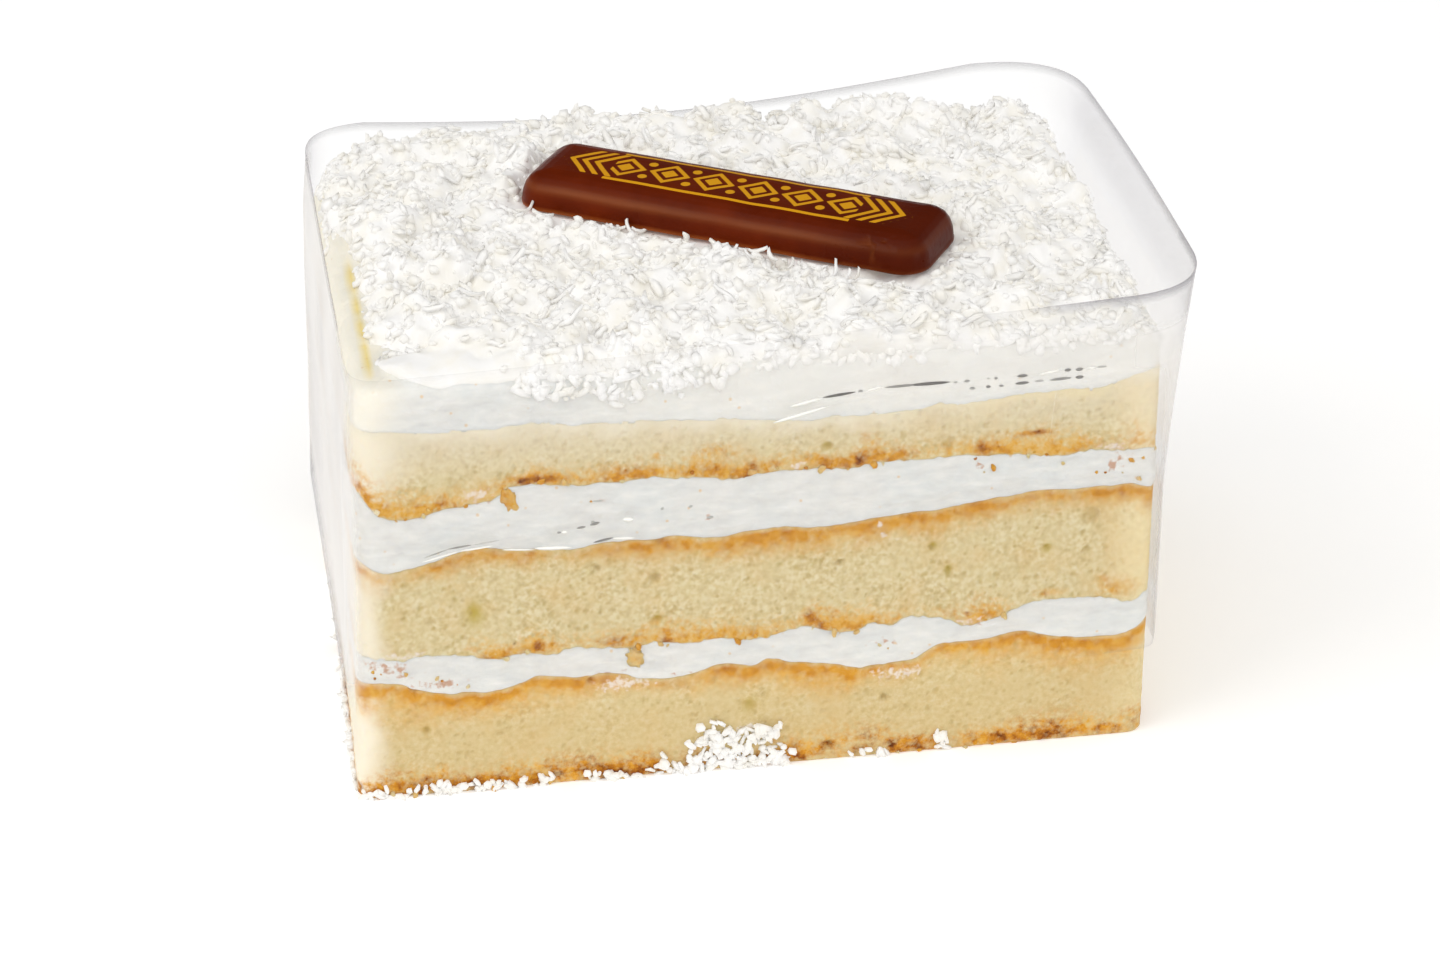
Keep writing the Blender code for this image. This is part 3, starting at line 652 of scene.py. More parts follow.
# Air holes in the cut face, browned patches away from the skins, and the darkest spots of the skins
HOLES = [(-34.6, 25.3, 1.0, 1.6), (-0.7, 9.0, 0.9, 0.9), (9.3, 2.3, 0.9, 0.5), (24.0, 26.0, 0.5, 0.6),
         (22.0, 29.5, 0.5, 0.6), (-12.2, 22.4, 0.6, 0.5), (8.6, 44.6, 0.6, 0.5), (-41.0, 9.3, 0.5, 0.6),
         (36.4, 28.0, 0.6, 0.5)]
TOASTS = [(45.5, 21.6, 2.6, 1.4), (43.6, 22.8, 1.0, 0.8), (37.0, 21.6, 2.0, 0.6), (-12.0, 45.0, 0.8, 0.6),
          (-5.0, 44.8, 2.6, 1.2), (-39.2, 2.8, 1.2, 1.4)]
CHARS = [(-27.0, 43.2, 2.6, 0.5), (12.7, 42.7, 0.9, 0.9), (34.0, 44.2, 3.2, 0.5), (-26.8, 20.0, 0.7, 0.8),
         (-15.9, 43.4, 0.7, 0.7), (-18.0, 0.6, 1.2, 0.6), (9.3, 2.1, 0.9, 0.7), (17.4, 1.3, 1.0, 0.6),
         (31.0, 1.6, 1.3, 0.8), (-25.2, 1.3, 0.8, 0.5), (-11.0, 19.2, 1.2, 0.5), (27.5, 43.0, 0.6, 0.6)]
print("marks on the cut face:", sum(len(marks) for marks in (WIPES, CRUMBED, HOLES, TOASTS, CHARS)))


# %% Wiped, pale, stained and browned places
def blots(points, spots):
    """How far points of the front face lie inside soft ovals, 0 to 1."""
    points_x, points_y, points_z = points.T
    total = np.zeros(len(points))
    for x, z, half_x, half_z in spots:
        near = ((points_x - x) / half_x) ** 2 + ((points_z - z) / half_z) ** 2
        total = np.maximum(total, np.exp(-near))
    return total * smooth_step(-31, -33, points_y)


def paled(points):
    """How much the left end and the right end are whitened, and how far cream drawn from the top coat covers
    the top sponge's edge.
    """
    x, y, z = points.T
    reach = 4.2 + 4.3 * smooth_step(38, 46, z)
    left = 1 - smooth_step(0, 1, (x - left_edge(z, y) - 0.6 + 0.9 * wander(points, 3.0, 63)) / reach)
    right = smooth_step(42.5, 48.5, x + 1.4 * wander(points * (1, 1, 0.3), 3.0, 64))
    right = right * (0.5 * smooth_step(1, 4, z) + 0.5 * smooth_step(17, 23, z))
    # The knife also drew the top coat down over the edge of the top sponge
    drawn = smooth_step(-2.6, 0.0, z - read_off(SEAMS["five"], x) + 1.2 * wander(points, 2.2, 65)) * (z > 45)
    return left, 0.6 * right, 0.6 * drawn


def stained(points):
    """How yellow the top coat is: a little on its left side, and in one bright streak along its edge."""
    x, y, z = points.T
    inward = x - left_edge(z, y)
    side = 1 - smooth_step(1.5, 7.5, inward + 1.5 * wander(points, 4.0, 61))
    streak = np.exp(-((inward - 2.1 - 0.3 * wander(points, 3.0, 62)) / 0.35) ** 2) * smooth_step(4, -2, y)
    return np.clip(0.1 * side + 0.9 * streak * smooth_step(54.5, 56.0, z) * smooth_step(-32, -30, y), 0, 1)


def browned(points, spans, skins):
    """How much browned skin a point has, how dark it is and how loose, from the skins' thickness in mm."""
    x, y, _ = points.T
    crust, bake, crumbly = (np.zeros(len(points)) for _ in range(3))
    fray = wander(points, 1.4, 3) * 0.5 + wander(points, 0.6, 4) * 0.35
    patch = 0.5 + 0.5 * wander(points, 3.5, 5)
    specks = wander(points, 1.0, 7) + 0.5 * wander(points, 0.5, 8)
    kept = smooth_step(-0.6, -0.1, wander(points, 5.0, 6))
    front = smooth_step(-30, -33, y)
    for side, (pairs, tone, loose) in enumerate(skins):
        # The pairs hold on the cut face, and the other sides have an even skin
        thick = (read_off(pairs, x) * front + 1.1 * (1 - front)) * (0.6 + 0.8 * patch)
        depth = spans[:, side] + fray * (0.3 + 0.5 * loose)
        strength = np.clip(0.3 + 0.62 * thick, 0, 1.15) * smooth_step(0.1, 0.5, thick)
        strength = strength * (1 - 0.6 * loose * (1 - kept)) * (0.9 + 0.3 * specks)
        reach = 0.9 + 0.65 * thick * (1 - 0.25 * loose)
        here = strength * np.exp(-(np.maximum(depth - 1.1, 0) / reach) ** 1.3)
        here = here * (0.35 + 0.65 * smooth_step(-0.1, 1.0, depth))
        shade = tone + (0.15 + 0.3 * loose) * (patch - 0.5) - 0.12 * smooth_step(0.5, 3.0, depth)
        crumbly = np.where(here > crust, 0.5 + 2.1 * loose, crumbly)
        crust = np.maximum(crust, here)
        bake = np.maximum(bake, (here > 0.02) * np.clip(shade, 0, 1))
    toast, char = 0.62 * blots(points, TOASTS), blots(points, CHARS)
    crust = np.maximum(crust, np.maximum(toast, 0.9 * char))
    crumbly = np.maximum(crumbly, toast > 0.1) * np.clip(3.0 * crust, 0, 1)
    return crust, np.maximum(bake, 0.3 * (toast > 0.05)) + 0.35 * char, crumbly


print("the middle of the first wiped place:", blots(np.array([[WIPES[0][0], FRONT, WIPES[0][1]]]), WIPES))

# %% The three sponges
# The skins under and over each sponge: pairs of x and thickness in mm, the tone, and how loose it is. A
# skin that faced the tin crumbles, and one that faced the air is smooth and fades inwards.
SKINS = {
    "sponge_bottom": [
        ([(-50, 1.3), (-48, 1.6), (-41, 2.1), (-39, 1.3), (-36, 1.8), (-30, 2.1), (-26, 2.5), (-20, 2.2),
          (-14, 2.5), (-10, 1.8), (4, 1.6), (8, 3.4), (12, 2.6), (17, 2.9), (20, 1.3), (25, 0.8), (30, 1.6),
          (33, 1.6), (38, 1.8), (41, 2.6), (46, 2.1), (50, 1.8)], 0.55, 1.0),
        ([(-50, 3.4), (-44, 3.4), (-40, 2.2), (-34, 1.4), (-30, 2), (-25, 2.2), (-21, 0.9), (-15, 0.5),
          (-10, 0.4), (-7, 1.2), (0, 1.4), (3, 2.2), (10, 2.2), (14, 0.9), (20, 0.7), (23, 1.4), (30, 2.2),
          (36, 2.2), (44, 2.6), (50, 2.2)], 0.42, 0.1)],
    "sponge_middle": [
        ([(-50, 0.2), (-36, 0.2), (-34, 1.5), (-30, 0.8), (-27, 2), (-24, 0.5), (-20, 1.2), (-15, 1),
          (-12, 1.3), (-5, 1.6), (2, 1.2), (5, 0.3), (8, 1.8), (12, 2.6), (15, 1.2), (18, 0.5), (24, 0.6),
          (27, 2.4), (30, 1.2), (33, 0.1), (50, 0.1)], 0.36, 1.0),
        ([(-50, 1.2), (-44, 0.5), (-38, 0.8), (-33, 0.9), (-25, 0.6), (-18, 0.8), (-12, 1), (-6, 1.6), (0, 2),
          (10, 1.6), (20, 1.6), (30, 1.1), (40, 0.9), (50, 1.3)], 0.40, 0.1)],
    "sponge_top": [
        ([(-50, 1.2), (-46, 2.7), (-41, 2.5), (-39, 1), (-33, 0.8), (-30, 0.6), (-28, 1.4), (-24, 1),
          (-20, 0.6), (-17, 1), (-12, 1.2), (-4, 1.3), (0, 0.8), (6, 0.6), (10, 1.4), (13, 2), (16, 0.8),
          (22, 1.2), (28, 1), (31, 2), (37, 2.2), (40, 1), (43, 0.3), (46, 1.8), (50, 1)], 0.35, 0.9)],
}
CRUMB = {"Pore Size": 1.0 * MM, "Pore Depth": 0.18 * MM, "Hole Size": 6 * MM, "Hole Depth": 0.55 * MM,
         "Lump Size": 1.5 * MM, "Lump Depth": 0.27 * MM, "Stretch": 1.0, "Finish": SPONGE}
WAVES = 0.22, 0.22
sponges = []
for part, seams, rows, curls in (("bottom", ("table", "one"), 50, (0.25, 0.25)),
                                 ("middle", ("two", "three"), 50, (0.25, 0.25)),
                                 ("top", ("four", "five"), 32, (0.25, 0.05))):
    sponge = layer(f"{part}_sponge", seams, SPONGE, rows, FINE, WAVES, curls, skins=SKINS[f"sponge_{part}"])
    dress(grow(sponge, RELIEF, CRUMB), f"sponge_{part}")
    sponges.append(sponge)

# %% The fillings and the top coat
SMEAR = {"Pore Size": 3.0 * MM, "Pore Depth": 0.12 * MM, "Hole Size": 14 * MM, "Hole Depth": 0.5 * MM,
         "Lump Size": 2.2 * MM, "Lump Depth": 1.1 * MM, "Stretch": 0.4, "Finish": CREAM}
fillings = []
for part, seams, rows, curls, bulge in (("lower", ("one", "two"), 18, (0.3, 0.3), 0.1),
                                        ("upper", ("three", "four"), 30, (0.35, 0.35), 0.2),
                                        ("top", ("five", "roof"), 24, (0.06, 2.2), 0.0)):
    filling = layer(f"{part}_cream", seams, CREAM, rows, COARSE, WAVES, curls, reach=0.35, bulge=bulge)
    dress(grow(filling, RELIEF, SMEAR), f"cream_{part}")
    fillings.append(filling)

# %% [markdown]
# ## Desiccated coconut
#
# Desiccated coconut is the white flesh, shredded and dried: curled strips 2 to 4 mm long and about a
# millimetre wide, shorter snips, and granules. It is very bright, and grey only in the gaps. A lumpy bed
# carries the heap's shape. Geometry Nodes scatter the flakes over it, each a few dozen faces, tipped at
# random so that the heap looks fluffy.

# %% Finish of the coconut
def coconut_finish():
    # A little light of its own stands for what passes from flake to flake and lifts the gaps
    finish, tree, shader, place = new_finish(
        "desiccated_coconut", Roughness=0.7, Specular_IOR_Level=0.3, Emission_Strength=0.07)
    tone = add_node(tree, "ShaderNodeTexNoise", {"Vector": place, "Scale": 1 / (3 * MM), "Detail": 4.0})
    fibre = add_node(tree, "ShaderNodeTexNoise", {"Vector": place, "Scale": 1 / (0.6 * MM), "Detail": 3.0})
    colour = coats(tree, paint("#F5F4F2"), [(tone, (0.42, 0.7, 1), "#F1EEE6")])
    tree.links.new(colour, shader.inputs["Emission Color"])
    set_surface(tree, shader, colour, fibre, 0.25, 0.15)
    return finish


COCONUT = coconut_finish()
print("coconut nodes:", len(COCONUT.node_tree.nodes))

# %% Shape of the heap
# The bed's underside, the heap's edge and top, and how far the middle of its back rises over that
HEAP_FLOOR, HEAP_EDGE, HEAP_TOP, HEAP_DOME = 55.3, 56.6, 58.2, 3.2
HEAP_SHOULDER, HEAP_MARGIN, HEAP_LEFT_MARGIN, HEAP_CORNER = 5.0, 0.8, 3.0, 8.0
HEAP_RIGHT, HEAP_BACK = RIGHT - HEAP_MARGIN, BACK - HEAP_MARGIN
# The bed lies this far under the loose flakes, and its lumps have a size, a height and a seed
BED_SINK = 0.3
BED_LUMPS = ((6.5, 1.6, 12), (3.0, 1.5, 13), (1.5, 0.45, 11), (0.7, 0.12, 15))
BAR_CENTRE = np.array(Vector((3.1, -0.6, 61.8)))
BAR_TURN = math.radians(-32.0)
BAR_SIZE = 55.0, 15.0, 4.6
BAR_BED = 59.1


def turned(points, angle):
    """Points turned about the upright axis."""
    x, y, z = points.T
    c, s = math.cos(angle), math.sin(angle)
    return np.stack([c * x - s * y, s * x + c * y, z], axis=1)


def in_bar(points):
    """The same points in the bar's own frame: along it, across it and up, in mm."""
    return turned(points - BAR_CENTRE, -BAR_TURN)


def heap_left(y):
    """The heap's left border: it leaves a ledge of the coat bare in front, and draws in at the back."""
    return (left_edge(HEAP_FLOOR, y) + HEAP_LEFT_MARGIN
            - 2.4 * smooth_step(3, 17, y) + 3.4 * smooth_step(17, 34, y))


def smoothed(x, y):
    """Where the collar pressed the front left shoulder of the heap smooth, 0 to 1."""
    spots = np.stack([x, y, np.zeros(len(x))], axis=1)
    stray = 1.5 * wander(spots, 3.0, 71)
    return smooth_step(-25.0, -28.5, y + stray) * smooth_step(-26, -33, x + 2 * stray)


def heap_height(x, y):
    """The top of the heap: a low dome, higher towards the back, that rolls over at its edge."""
    inside = np.min([HEAP_RIGHT - x, x - heap_left(y), HEAP_BACK - np.abs(y)], axis=0)
    shoulder = np.sqrt(1 - (1 - np.clip(inside / HEAP_SHOULDER, 0, 1)) ** 2)
    dome = HEAP_DOME * (1 - (x / LENGTH * 1.8) ** 2) * (0.58 + 0.42 * y / HEAP_BACK)
    lumps = np.array([noise.noise(Vector((a, b, 0)) / 3.6) for a, b in zip(x, y)]) * 0.65
    return HEAP_EDGE + (HEAP_TOP + dome - HEAP_EDGE) * shoulder + lumps * (0.4 + 0.6 * shoulder)


print("height of the heap's middle, in mm:", np.round(heap_height(np.zeros(1), np.zeros(1)), 1))


# %% The bed of the heap
def grid_sheet(columns, rows):
    """A grid over the square from -1 to 1: its places, the numbers of its rim's points, and its faces."""
    u, v = np.meshgrid(np.linspace(-1, 1, columns), np.linspace(-1, 1, rows))
    grid = np.arange(rows * columns).reshape(rows, columns)
    rim = np.concatenate([grid[0, :-1], grid[:-1, -1], grid[-1, :0:-1], grid[:0:-1, 0]])
    faces = np.stack([grid[:-1, :-1], grid[:-1, 1:], grid[1:, 1:], grid[1:, :-1]], axis=-1)
    return u.ravel(), v.ravel(), rim, faces.reshape(-1, 4).tolist()


def rounded_spot(u, v, half_x, half_y, corner):
    """Maps the square onto a rectangle with rounded corners, and says how far in from its rim a place is."""
    far_x, far_y = np.abs(u) * half_x - (half_x - corner), np.abs(v) * half_y - (half_y - corner)
    both = np.minimum(far_x, far_y) > 0
    shrink = np.where(both, np.maximum(far_x, far_y) / np.maximum(np.hypot(far_x, far_y), 1e-6), 1)
    x = np.copysign(half_x - corner + far_x * shrink, u)
    y = np.copysign(half_y - corner + far_y * shrink, v)
    return x, y, corner - np.maximum(far_x, far_y)


def heap_bed(columns, rows):
    """A lumpy slab with a flat underside."""
    u, v, rim, faces = grid_sheet(columns, rows)
    left = heap_left(v * BACK)
    x, y, _ = rounded_spot(u, v, (HEAP_RIGHT - left) / 2, HEAP_BACK, HEAP_CORNER)
    x = (left + HEAP_RIGHT) / 2 + x
    spots = np.stack([x, y, np.zeros(len(x))], axis=1)
    z = heap_height(x, y) - BED_SINK
    for size, swell, seed in BED_LUMPS:
        z += swell * wander(spots, size, seed) * (1 - 0.85 * smoothed(x, y))
    # The bar presses the heap down under itself and a little beyond
    local = np.abs(in_bar(spots)[:, :2]) - np.array(BAR_SIZE[:2]) / 2
    pressed = 1 - smooth_step(0.3, 3.0, np.max(local, axis=1))
    z = z * (1 - pressed) + np.minimum(z, BAR_BED) * pressed
    top = np.stack([x, y, z], axis=1)
    wall = top[rim] * (1, 1, 0) + (0, 0, HEAP_FLOOR)
    first, middle = len(top), len(top) + len(rim)
    for i in range(len(rim)):
        j = (i + 1) % len(rim)
        faces += [[first + i, first + j, rim[j], rim[i]], [first + j, first + i, middle]]
    return new_piece("coconut_bed", np.vstack([top, wall, [[0, 0, HEAP_FLOOR]]]), faces, COCONUT)


bed = heap_bed(330, 230)
dress(bed, "coconut_topping")
print("the bed is", round(bed.dimensions.x / MM, 1), "by", round(bed.dimensions.y / MM, 1), "mm")


# %% Strips, snips and granules
def strip(name, length, width, thick, curl, segments):
    """A flake of coconut flesh: flat, with a ridge, blunt ends and torn sides, that curls up at its ends."""
    chance = np.random.default_rng(int(1000 * length + 100 * width))
    points, faces = [], []
    for part in np.arange(segments + 1) / segments * 2 - 1:
        half = width / 2 * (1 - 0.45 * part ** 4) * chance.uniform(0.7, 1.1)
        lift, sway = curl * part * part, 0.25 * curl * math.sin(3 * part) + chance.uniform(-0.08, 0.08) * width
        points += [(part * length / 2, y + sway, z + lift)
                   for y, z in ((-half, 0), (0, -thick / 2), (half, 0), (0, thick / 2))]
    for i in range(segments):
        for k in range(4):
            a, b = 4 * i + k, 4 * i + (k + 1) % 4
            faces.append([b, b + 4, a + 4, a])
    faces += [[3, 2, 1, 0], [4 * segments + k for k in range(4)]]
    return new_piece(name, points, faces, COCONUT)


def lump(name, size, levels, finish, **values):
    """A crumb or granule: a ball of few faces, stretched to a size in mm and pushed out of true."""
    ball = bmesh.new()
    bmesh.ops.create_icosphere(ball, subdivisions=levels, radius=0.5)
    points = np.array([corner.co for corner in ball.verts])
    faces = [[corner.index for corner in face.verts] for face in ball.faces]
    ball.free()
    points *= 1 + np.random.default_rng(int(100 * sum(size))).uniform(-0.25, 0.25, (len(points), 1))
    return new_piece(name, points * size, faces, finish, {
        key: [value] * len(points) for key, value in values.items()})


# Each kind of flake: how many segments, and the length, width, thickness and curl of each, in mm
FLAKES = {
    "strips": (4, [(2.6, 1.3, 0.6, 0.25), (2.2, 1.5, 0.6, -0.15), (3.0, 1.1, 0.55, 0.35),
                   (2.4, 1.2, 0.6, -0.25), (3.6, 0.9, 0.5, 0.4)]),
    "snips": (2, [(1.5, 1.1, 0.5, 0.1), (1.8, 1.0, 0.5, -0.1), (1.2, 1.1, 0.55, 0.0), (1.6, 0.8, 0.5, 0.15)]),
    "curls": (5, [(2.6, 1.0, 0.5, 0.5), (2.2, 0.9, 0.5, 0.4), (3.2, 0.8, 0.45, 0.7)]),
}
print("flakes of each kind:", {kind: len(sizes) for kind, (_, sizes) in FLAKES.items()})


# %% The scatter tree
def scatter_tree(kinds):
    """Scatters the pieces of a collection over a surface, more thickly where "cover" is high."""
    tree, given = new_tree("scatter_" + kinds.name, (
        "Spacing", "Density", "Tilt", "Smallest", "Largest", "Sink", "Lift"), ("Seed",))
    cover = add_node(tree, "GeometryNodeInputNamedAttribute", {"Name": "cover"}, "Attribute",
                     data_type="FLOAT")
    points = add_node(tree, "GeometryNodeDistributePointsOnFaces", {
        "Mesh": given["Geometry"], "Distance Min": given["Spacing"], "Density Max": given["Density"],
        "Density Factor": cover, "Seed": given["Seed"]}, "Points", distribute_method="POISSON")
    least, deep = [add_node(tree, "ShaderNodeMath", {0: given[name], 1: -1.0}, operation="MULTIPLY")
                   for name in ("Tilt", "Sink")]
    low = add_node(tree, "ShaderNodeCombineXYZ", {0: least, 1: least, 2: 0.0})
    high = add_node(tree, "ShaderNodeCombineXYZ", {0: given["Tilt"], 1: given["Tilt"], 2: math.tau})
    tilt = add_node(tree, "FunctionNodeRandomValue", {0: low, 1: high, "Seed": given["Seed"]},
                    data_type="FLOAT_VECTOR")
    spin = add_node(tree, "FunctionNodeEulerToRotation", {0: tilt})
    facing = add_node(tree, "FunctionNodeRotateRotation", {0: points.node.outputs["Rotation"], 1: spin},
                      rotation_space="LOCAL")
    size, lift = [add_node(tree, "FunctionNodeRandomValue", {2: least, 3: most, "Seed": given["Seed"]}, 1,
                           data_type="FLOAT")
                  for least, most in ((given["Smallest"], given["Largest"]), (deep, given["Lift"]))]
    up = add_node(tree, "ShaderNodeVectorMath", {0: points.node.outputs["Normal"], "Scale": lift},
                  operation="SCALE")
    raised = add_node(tree, "GeometryNodeSetPosition", {"Geometry": points, "Offset": up})
    chosen = add_node(tree, "GeometryNodeCollectionInfo", {
        "Collection": kinds, "Separate Children": True, "Reset Children": True})
    placed = add_node(tree, "GeometryNodeInstanceOnPoints", {
        "Points": raised, "Instance": chosen, "Pick Instance": True, "Rotation": facing, "Scale": size})
    return close_tree(tree, given, placed)


def family(name, pieces):
    """The tree that scatters these pieces, which go into a collection of their own outside the scene."""
    group = bpy.data.collections.new(name)
    for piece in pieces:
        bpy.context.scene.collection.objects.unlink(piece)
        group.objects.link(piece)
    return scatter_tree(group)


STRIPS, SNIPS, CURLS = [
    family(kind, [strip(f"{kind}_{i}", *size, segments) for i, size in enumerate(sizes)])
    for kind, (segments, sizes) in FLAKES.items()]
GRAINS = family("grains", [lump(f"grain_{i}", size, 1, COCONUT) for i, size in enumerate([
    (2.3, 1.3, 0.9), (1.6, 1.3, 1.0), (2.0, 0.9, 0.8), (1.2, 1.3, 0.9), (1.1, 1.0, 0.8), (2.8, 1.0, 0.8)])])
print("kinds:", [tree.name for tree in (STRIPS, SNIPS, CURLS, GRAINS)])

# %% [markdown]
# Coconut lies thickly on the whole bed but for the place under the bar, and a cover says where. Every
# scatter is sown on a copy of the surface that carries its cover.

# %% Scatter the coconut on the heap
def mesh_points(piece):
    """The points of a piece, in mm."""
    flat = np.empty(len(piece.data.vertices) * 3, np.float32)
    piece.data.vertices.foreach_get("co", flat)
    return flat.reshape(-1, 3) / MM


def sow(name, surface, tree, cover, node, spacing, density, tilt, sink, lift, seed,
        sizes=(0.65, 1.1), finish=COCONUT):
    """A new piece: what a tree scatters over a copy of a surface. Spacing, sink and lift are in mm, and
    density is the most to a square metre."""
    piece = bpy.data.objects.new(name, surface.data.copy())
    bpy.context.scene.collection.objects.link(piece)
    piece.data.attributes.new("cover", "FLOAT", "POINT").data.foreach_set("value", cover.astype(np.float32))
    grow(piece, tree, {"Spacing": spacing * MM, "Density": density, "Tilt": tilt, "Smallest": sizes[0],
                       "Largest": sizes[1], "Sink": sink * MM, "Lift": lift * MM, "Seed": seed,
                       "Finish": finish})
    # Whatever hangs lowest rests on the table
    for corner in piece.data.vertices:
        corner.co.z = max(corner.co.z, 0.0)
    dress(piece, node)


spots = mesh_points(bed)
x, y, z = spots.T
local = in_bar(spots)
far_along, far_across = np.abs(local[:, 0]) - BAR_SIZE[0] / 2, np.abs(local[:, 1]) - BAR_SIZE[1] / 2
under_bar = (far_along < 0.6) & (far_across < 0.6)
on_top = ((z > HEAP_FLOOR + 0.1) & ~under_bar) * (1 - smoothed(x, y))
# Fine curls lie here and there, and thickly against the front of the bar
before_bar = (local[:, 1] < 0) * (1 - smooth_step(0.8, 4.5, far_across)) * (far_along < 0)
curly = on_top * (0.004 + 0.6 * before_bar)
# Long strips stay off the very edge, where they would reach through the collar
off_edge = smooth_step(0.3, 1.6, np.min([x - heap_left(y), HEAP_RIGHT - x, HEAP_BACK - np.abs(y)], axis=0))
for name, tree, cover, spacing, density, tilt, sink, lift, seed in (
        ("coconut_grains", GRAINS, on_top, 0.9, 1.2e6, 0.6, 0.45, 0.25, 3),
        ("coconut_strips", STRIPS, on_top * off_edge, 3.2, 0.06e6, 0.35, 0.0, 0.5, 4),
        ("coconut_snips", SNIPS, on_top, 2.8, 0.14e6, 0.5, 0.0, 0.5, 9),
        ("coconut_curls", CURLS, curly * off_edge, 0.9, 0.8e6, 0.9, 0.0, 0.9, 5)):
    sow(name, bed, tree, cover, "coconut_topping", spacing, density, tilt, sink, lift, seed)

# %% [markdown]
# Flakes also cling below the heap's edge to the top coat, thinning downwards, and some stuck to the
# foot of the slice when it was set down. They lie flatter than the flakes on the heap.

# %% Flakes that cling to the sides
coat = mesh_points(fillings[2])
x, y, z = coat.T
patchy = 0.5 + 0.5 * wander(coat * (1, 1, 0.4), 4.0, 31)
ledge = x - left_edge(z, y) < HEAP_LEFT_MARGIN
# The heap's lower border on the front: coconut hangs down left of the middle, and nowhere else
border = 56.4 - 3.4 * smooth_step(-32, -25, x) * (1 - smooth_step(-7, 4, x))
hanging = smooth_step(border - 0.3, border + 0.9, z + 4.5 * (patchy - 0.5)) * (np.abs(y) > 20)
hanging = np.maximum(hanging, smooth_step(54.9, 56.3, z)) * (1 - smoothed(x, y))
hanging = np.where(ledge, smooth_step(9, 17, y) * (z > 53), hanging)
sow("clinging_grains", fillings[2], GRAINS, hanging, "cream_top", 0.6, 2.4e6, 0.4, 0.3, 0.2, 6)
sow("clinging_snips", fillings[2], SNIPS, hanging, "cream_top", 1.3, 2.4e6, 0.4, 0.3, 0.2, 7)

wall = mesh_points(sponges[0])
x, y, z = wall.T
clump = blots(wall, [(-4.5, 1.0, 4.6, 2.4), (-5.0, 4.0, 3.2, 1.6), (2.0, 0.8, 2.6, 1.6), (0.5, 4.6, 2.0, 1.0),
                     (23.8, 1.6, 0.8, 1.5), (-39.5, 0.6, 1.6, 0.8), (14.0, 0.5, 2.0, 0.5)])
foot = (z < 1.3) * (x < -9) * (wander(wall, 3.0, 33) > -0.3) * 0.8
low = np.clip(np.maximum(1.6 * clump, foot) * (z > 0.25), 0, 1)
sow("stuck_grains", sponges[0], GRAINS, low, "sponge_bottom", 0.45, 3.5e6, 0.8, 0.0, 0.4, 8)
sow("stuck_snips", sponges[0], SNIPS, low, "sponge_bottom", 0.8, 3.5e6, 0.8, 0.0, 0.4, 10)

# %% [markdown]
# ## Loose crumbs
#
# The knife tears crumbs from the skins that faced the tin. They lie in rows along those seams, some of
# them browned, and two larger ones hang in the cream. The same kind of scatter tree sows them.

# %% Crumbs along the seams
# Each crumb: its size, and how much of it is crust and how dark that is
CRUMBS = family("crumbs", [
    lump(f"crumb_{i}", size, 2, SPONGE, crust=crust, bake=bake, loose=1.5)
    for i, (size, crust, bake) in enumerate([
        ((1.2, 0.9, 0.8), 1.0, 0.40), ((0.8, 0.7, 0.6), 1.0, 0.30), ((1.0, 0.8, 0.7), 0.0, 0.0),
        ((0.7, 0.6, 0.6), 1.0, 0.60), ((1.4, 0.8, 0.8), 0.5, 0.25)])])
for sponge, node, floor, tear, seed in ((sponges[0], "sponge_bottom", "table", 1.8, 11),
                                        (sponges[1], "sponge_middle", "two", 1.2, 12),
                                        (sponges[2], "sponge_top", "four", 1.2, 13)):
    wall = mesh_points(sponge)
    x, y, z = wall.T
    rise = z - seam(floor, x, y)
    torn = (1 - smooth_step(0.3, tear, rise)) * smooth_step(-0.3, 0.4, wander(wall, 5.0, 6))
    torn = torn * smooth_step(0.2, 1.2, read_off(SKINS[node][0][0], x)) * (np.abs(y) > 30) * (rise > -0.3)
    sow(f"{node}_crumbs", sponge, CRUMBS, torn, node, 0.8, 1.2e6, 1.5, 0.2, 0.2, seed,
        (0.4, 1.0), SPONGE)

# Where crumbs lie in the cream: middle and half size along the face and up, in mm
for cream, node, seed, zones in (
        (fillings[0], "cream_lower", 14, [
            (-45.0, 18.2, 4.5, 1.6), (-38.0, 16.0, 3.0, 1.0), (16.0, 16.5, 2.0, 0.5)]),
        (fillings[1], "cream_upper", 15, [
            (45.0, 38.6, 1.8, 2.4), (44.0, 40.4, 2.6, 0.8), (28.5, 40.0, 1.5, 1.0), (39.0, 39.6, 1.0, 1.2),
            (-19.5, 39.7, 0.8, 0.4), (20.0, 36.8, 1.5, 0.4), (-6.0, 36.0, 0.8, 1.2), (-33.5, 40.5, 1.5, 0.6)])):
    sow(f"{node}_crumbs", cream, CRUMBS, 0.6 * blots(mesh_points(cream), zones), node,
        0.7, 1.2e6, 1.5, 0.2, 0.0, seed, (0.35, 0.8), SPONGE)

# %% Two crumbs in the cream
CRUMB_LEAN = -0.3
for name, node, place, size, bake in (
        ("upper_crumb", "cream_upper", (-30.0, -34.4, 40.4), (2.0, 0.9, 3.7), 0.34),
        ("lower_crumb", "cream_lower", (-15.1, -34.5, 17.3), (2.1, 0.9, 2.8), 0.06)):
    crumb = lump(name, size, 3, SPONGE, crust=0.5 + bake, bake=bake, loose=1.8)
    crumb.data.transform(Matrix.Translation(Vector(place) * MM) @ Matrix.Rotation(CRUMB_LEAN, 4, "Y"))
    dress(crumb, node)
print("crumbs hang in the upper and the lower cream")

# %% [markdown]
# ## Milk chocolate bar
#
# The bar is milk chocolate cast in a mould, so its top is flat, its edges are soft and it shows a satin
# gloss. Its gilt print is coloured cocoa butter that a foil leaves on it, matt and level with the
# surface. The ornament here is a row of nested diamonds with dots, a rule above and below, and chevrons
# at both ends. It is worked out as a number at each point of the top's fine grid, and the finish turns
# that number into gilt.

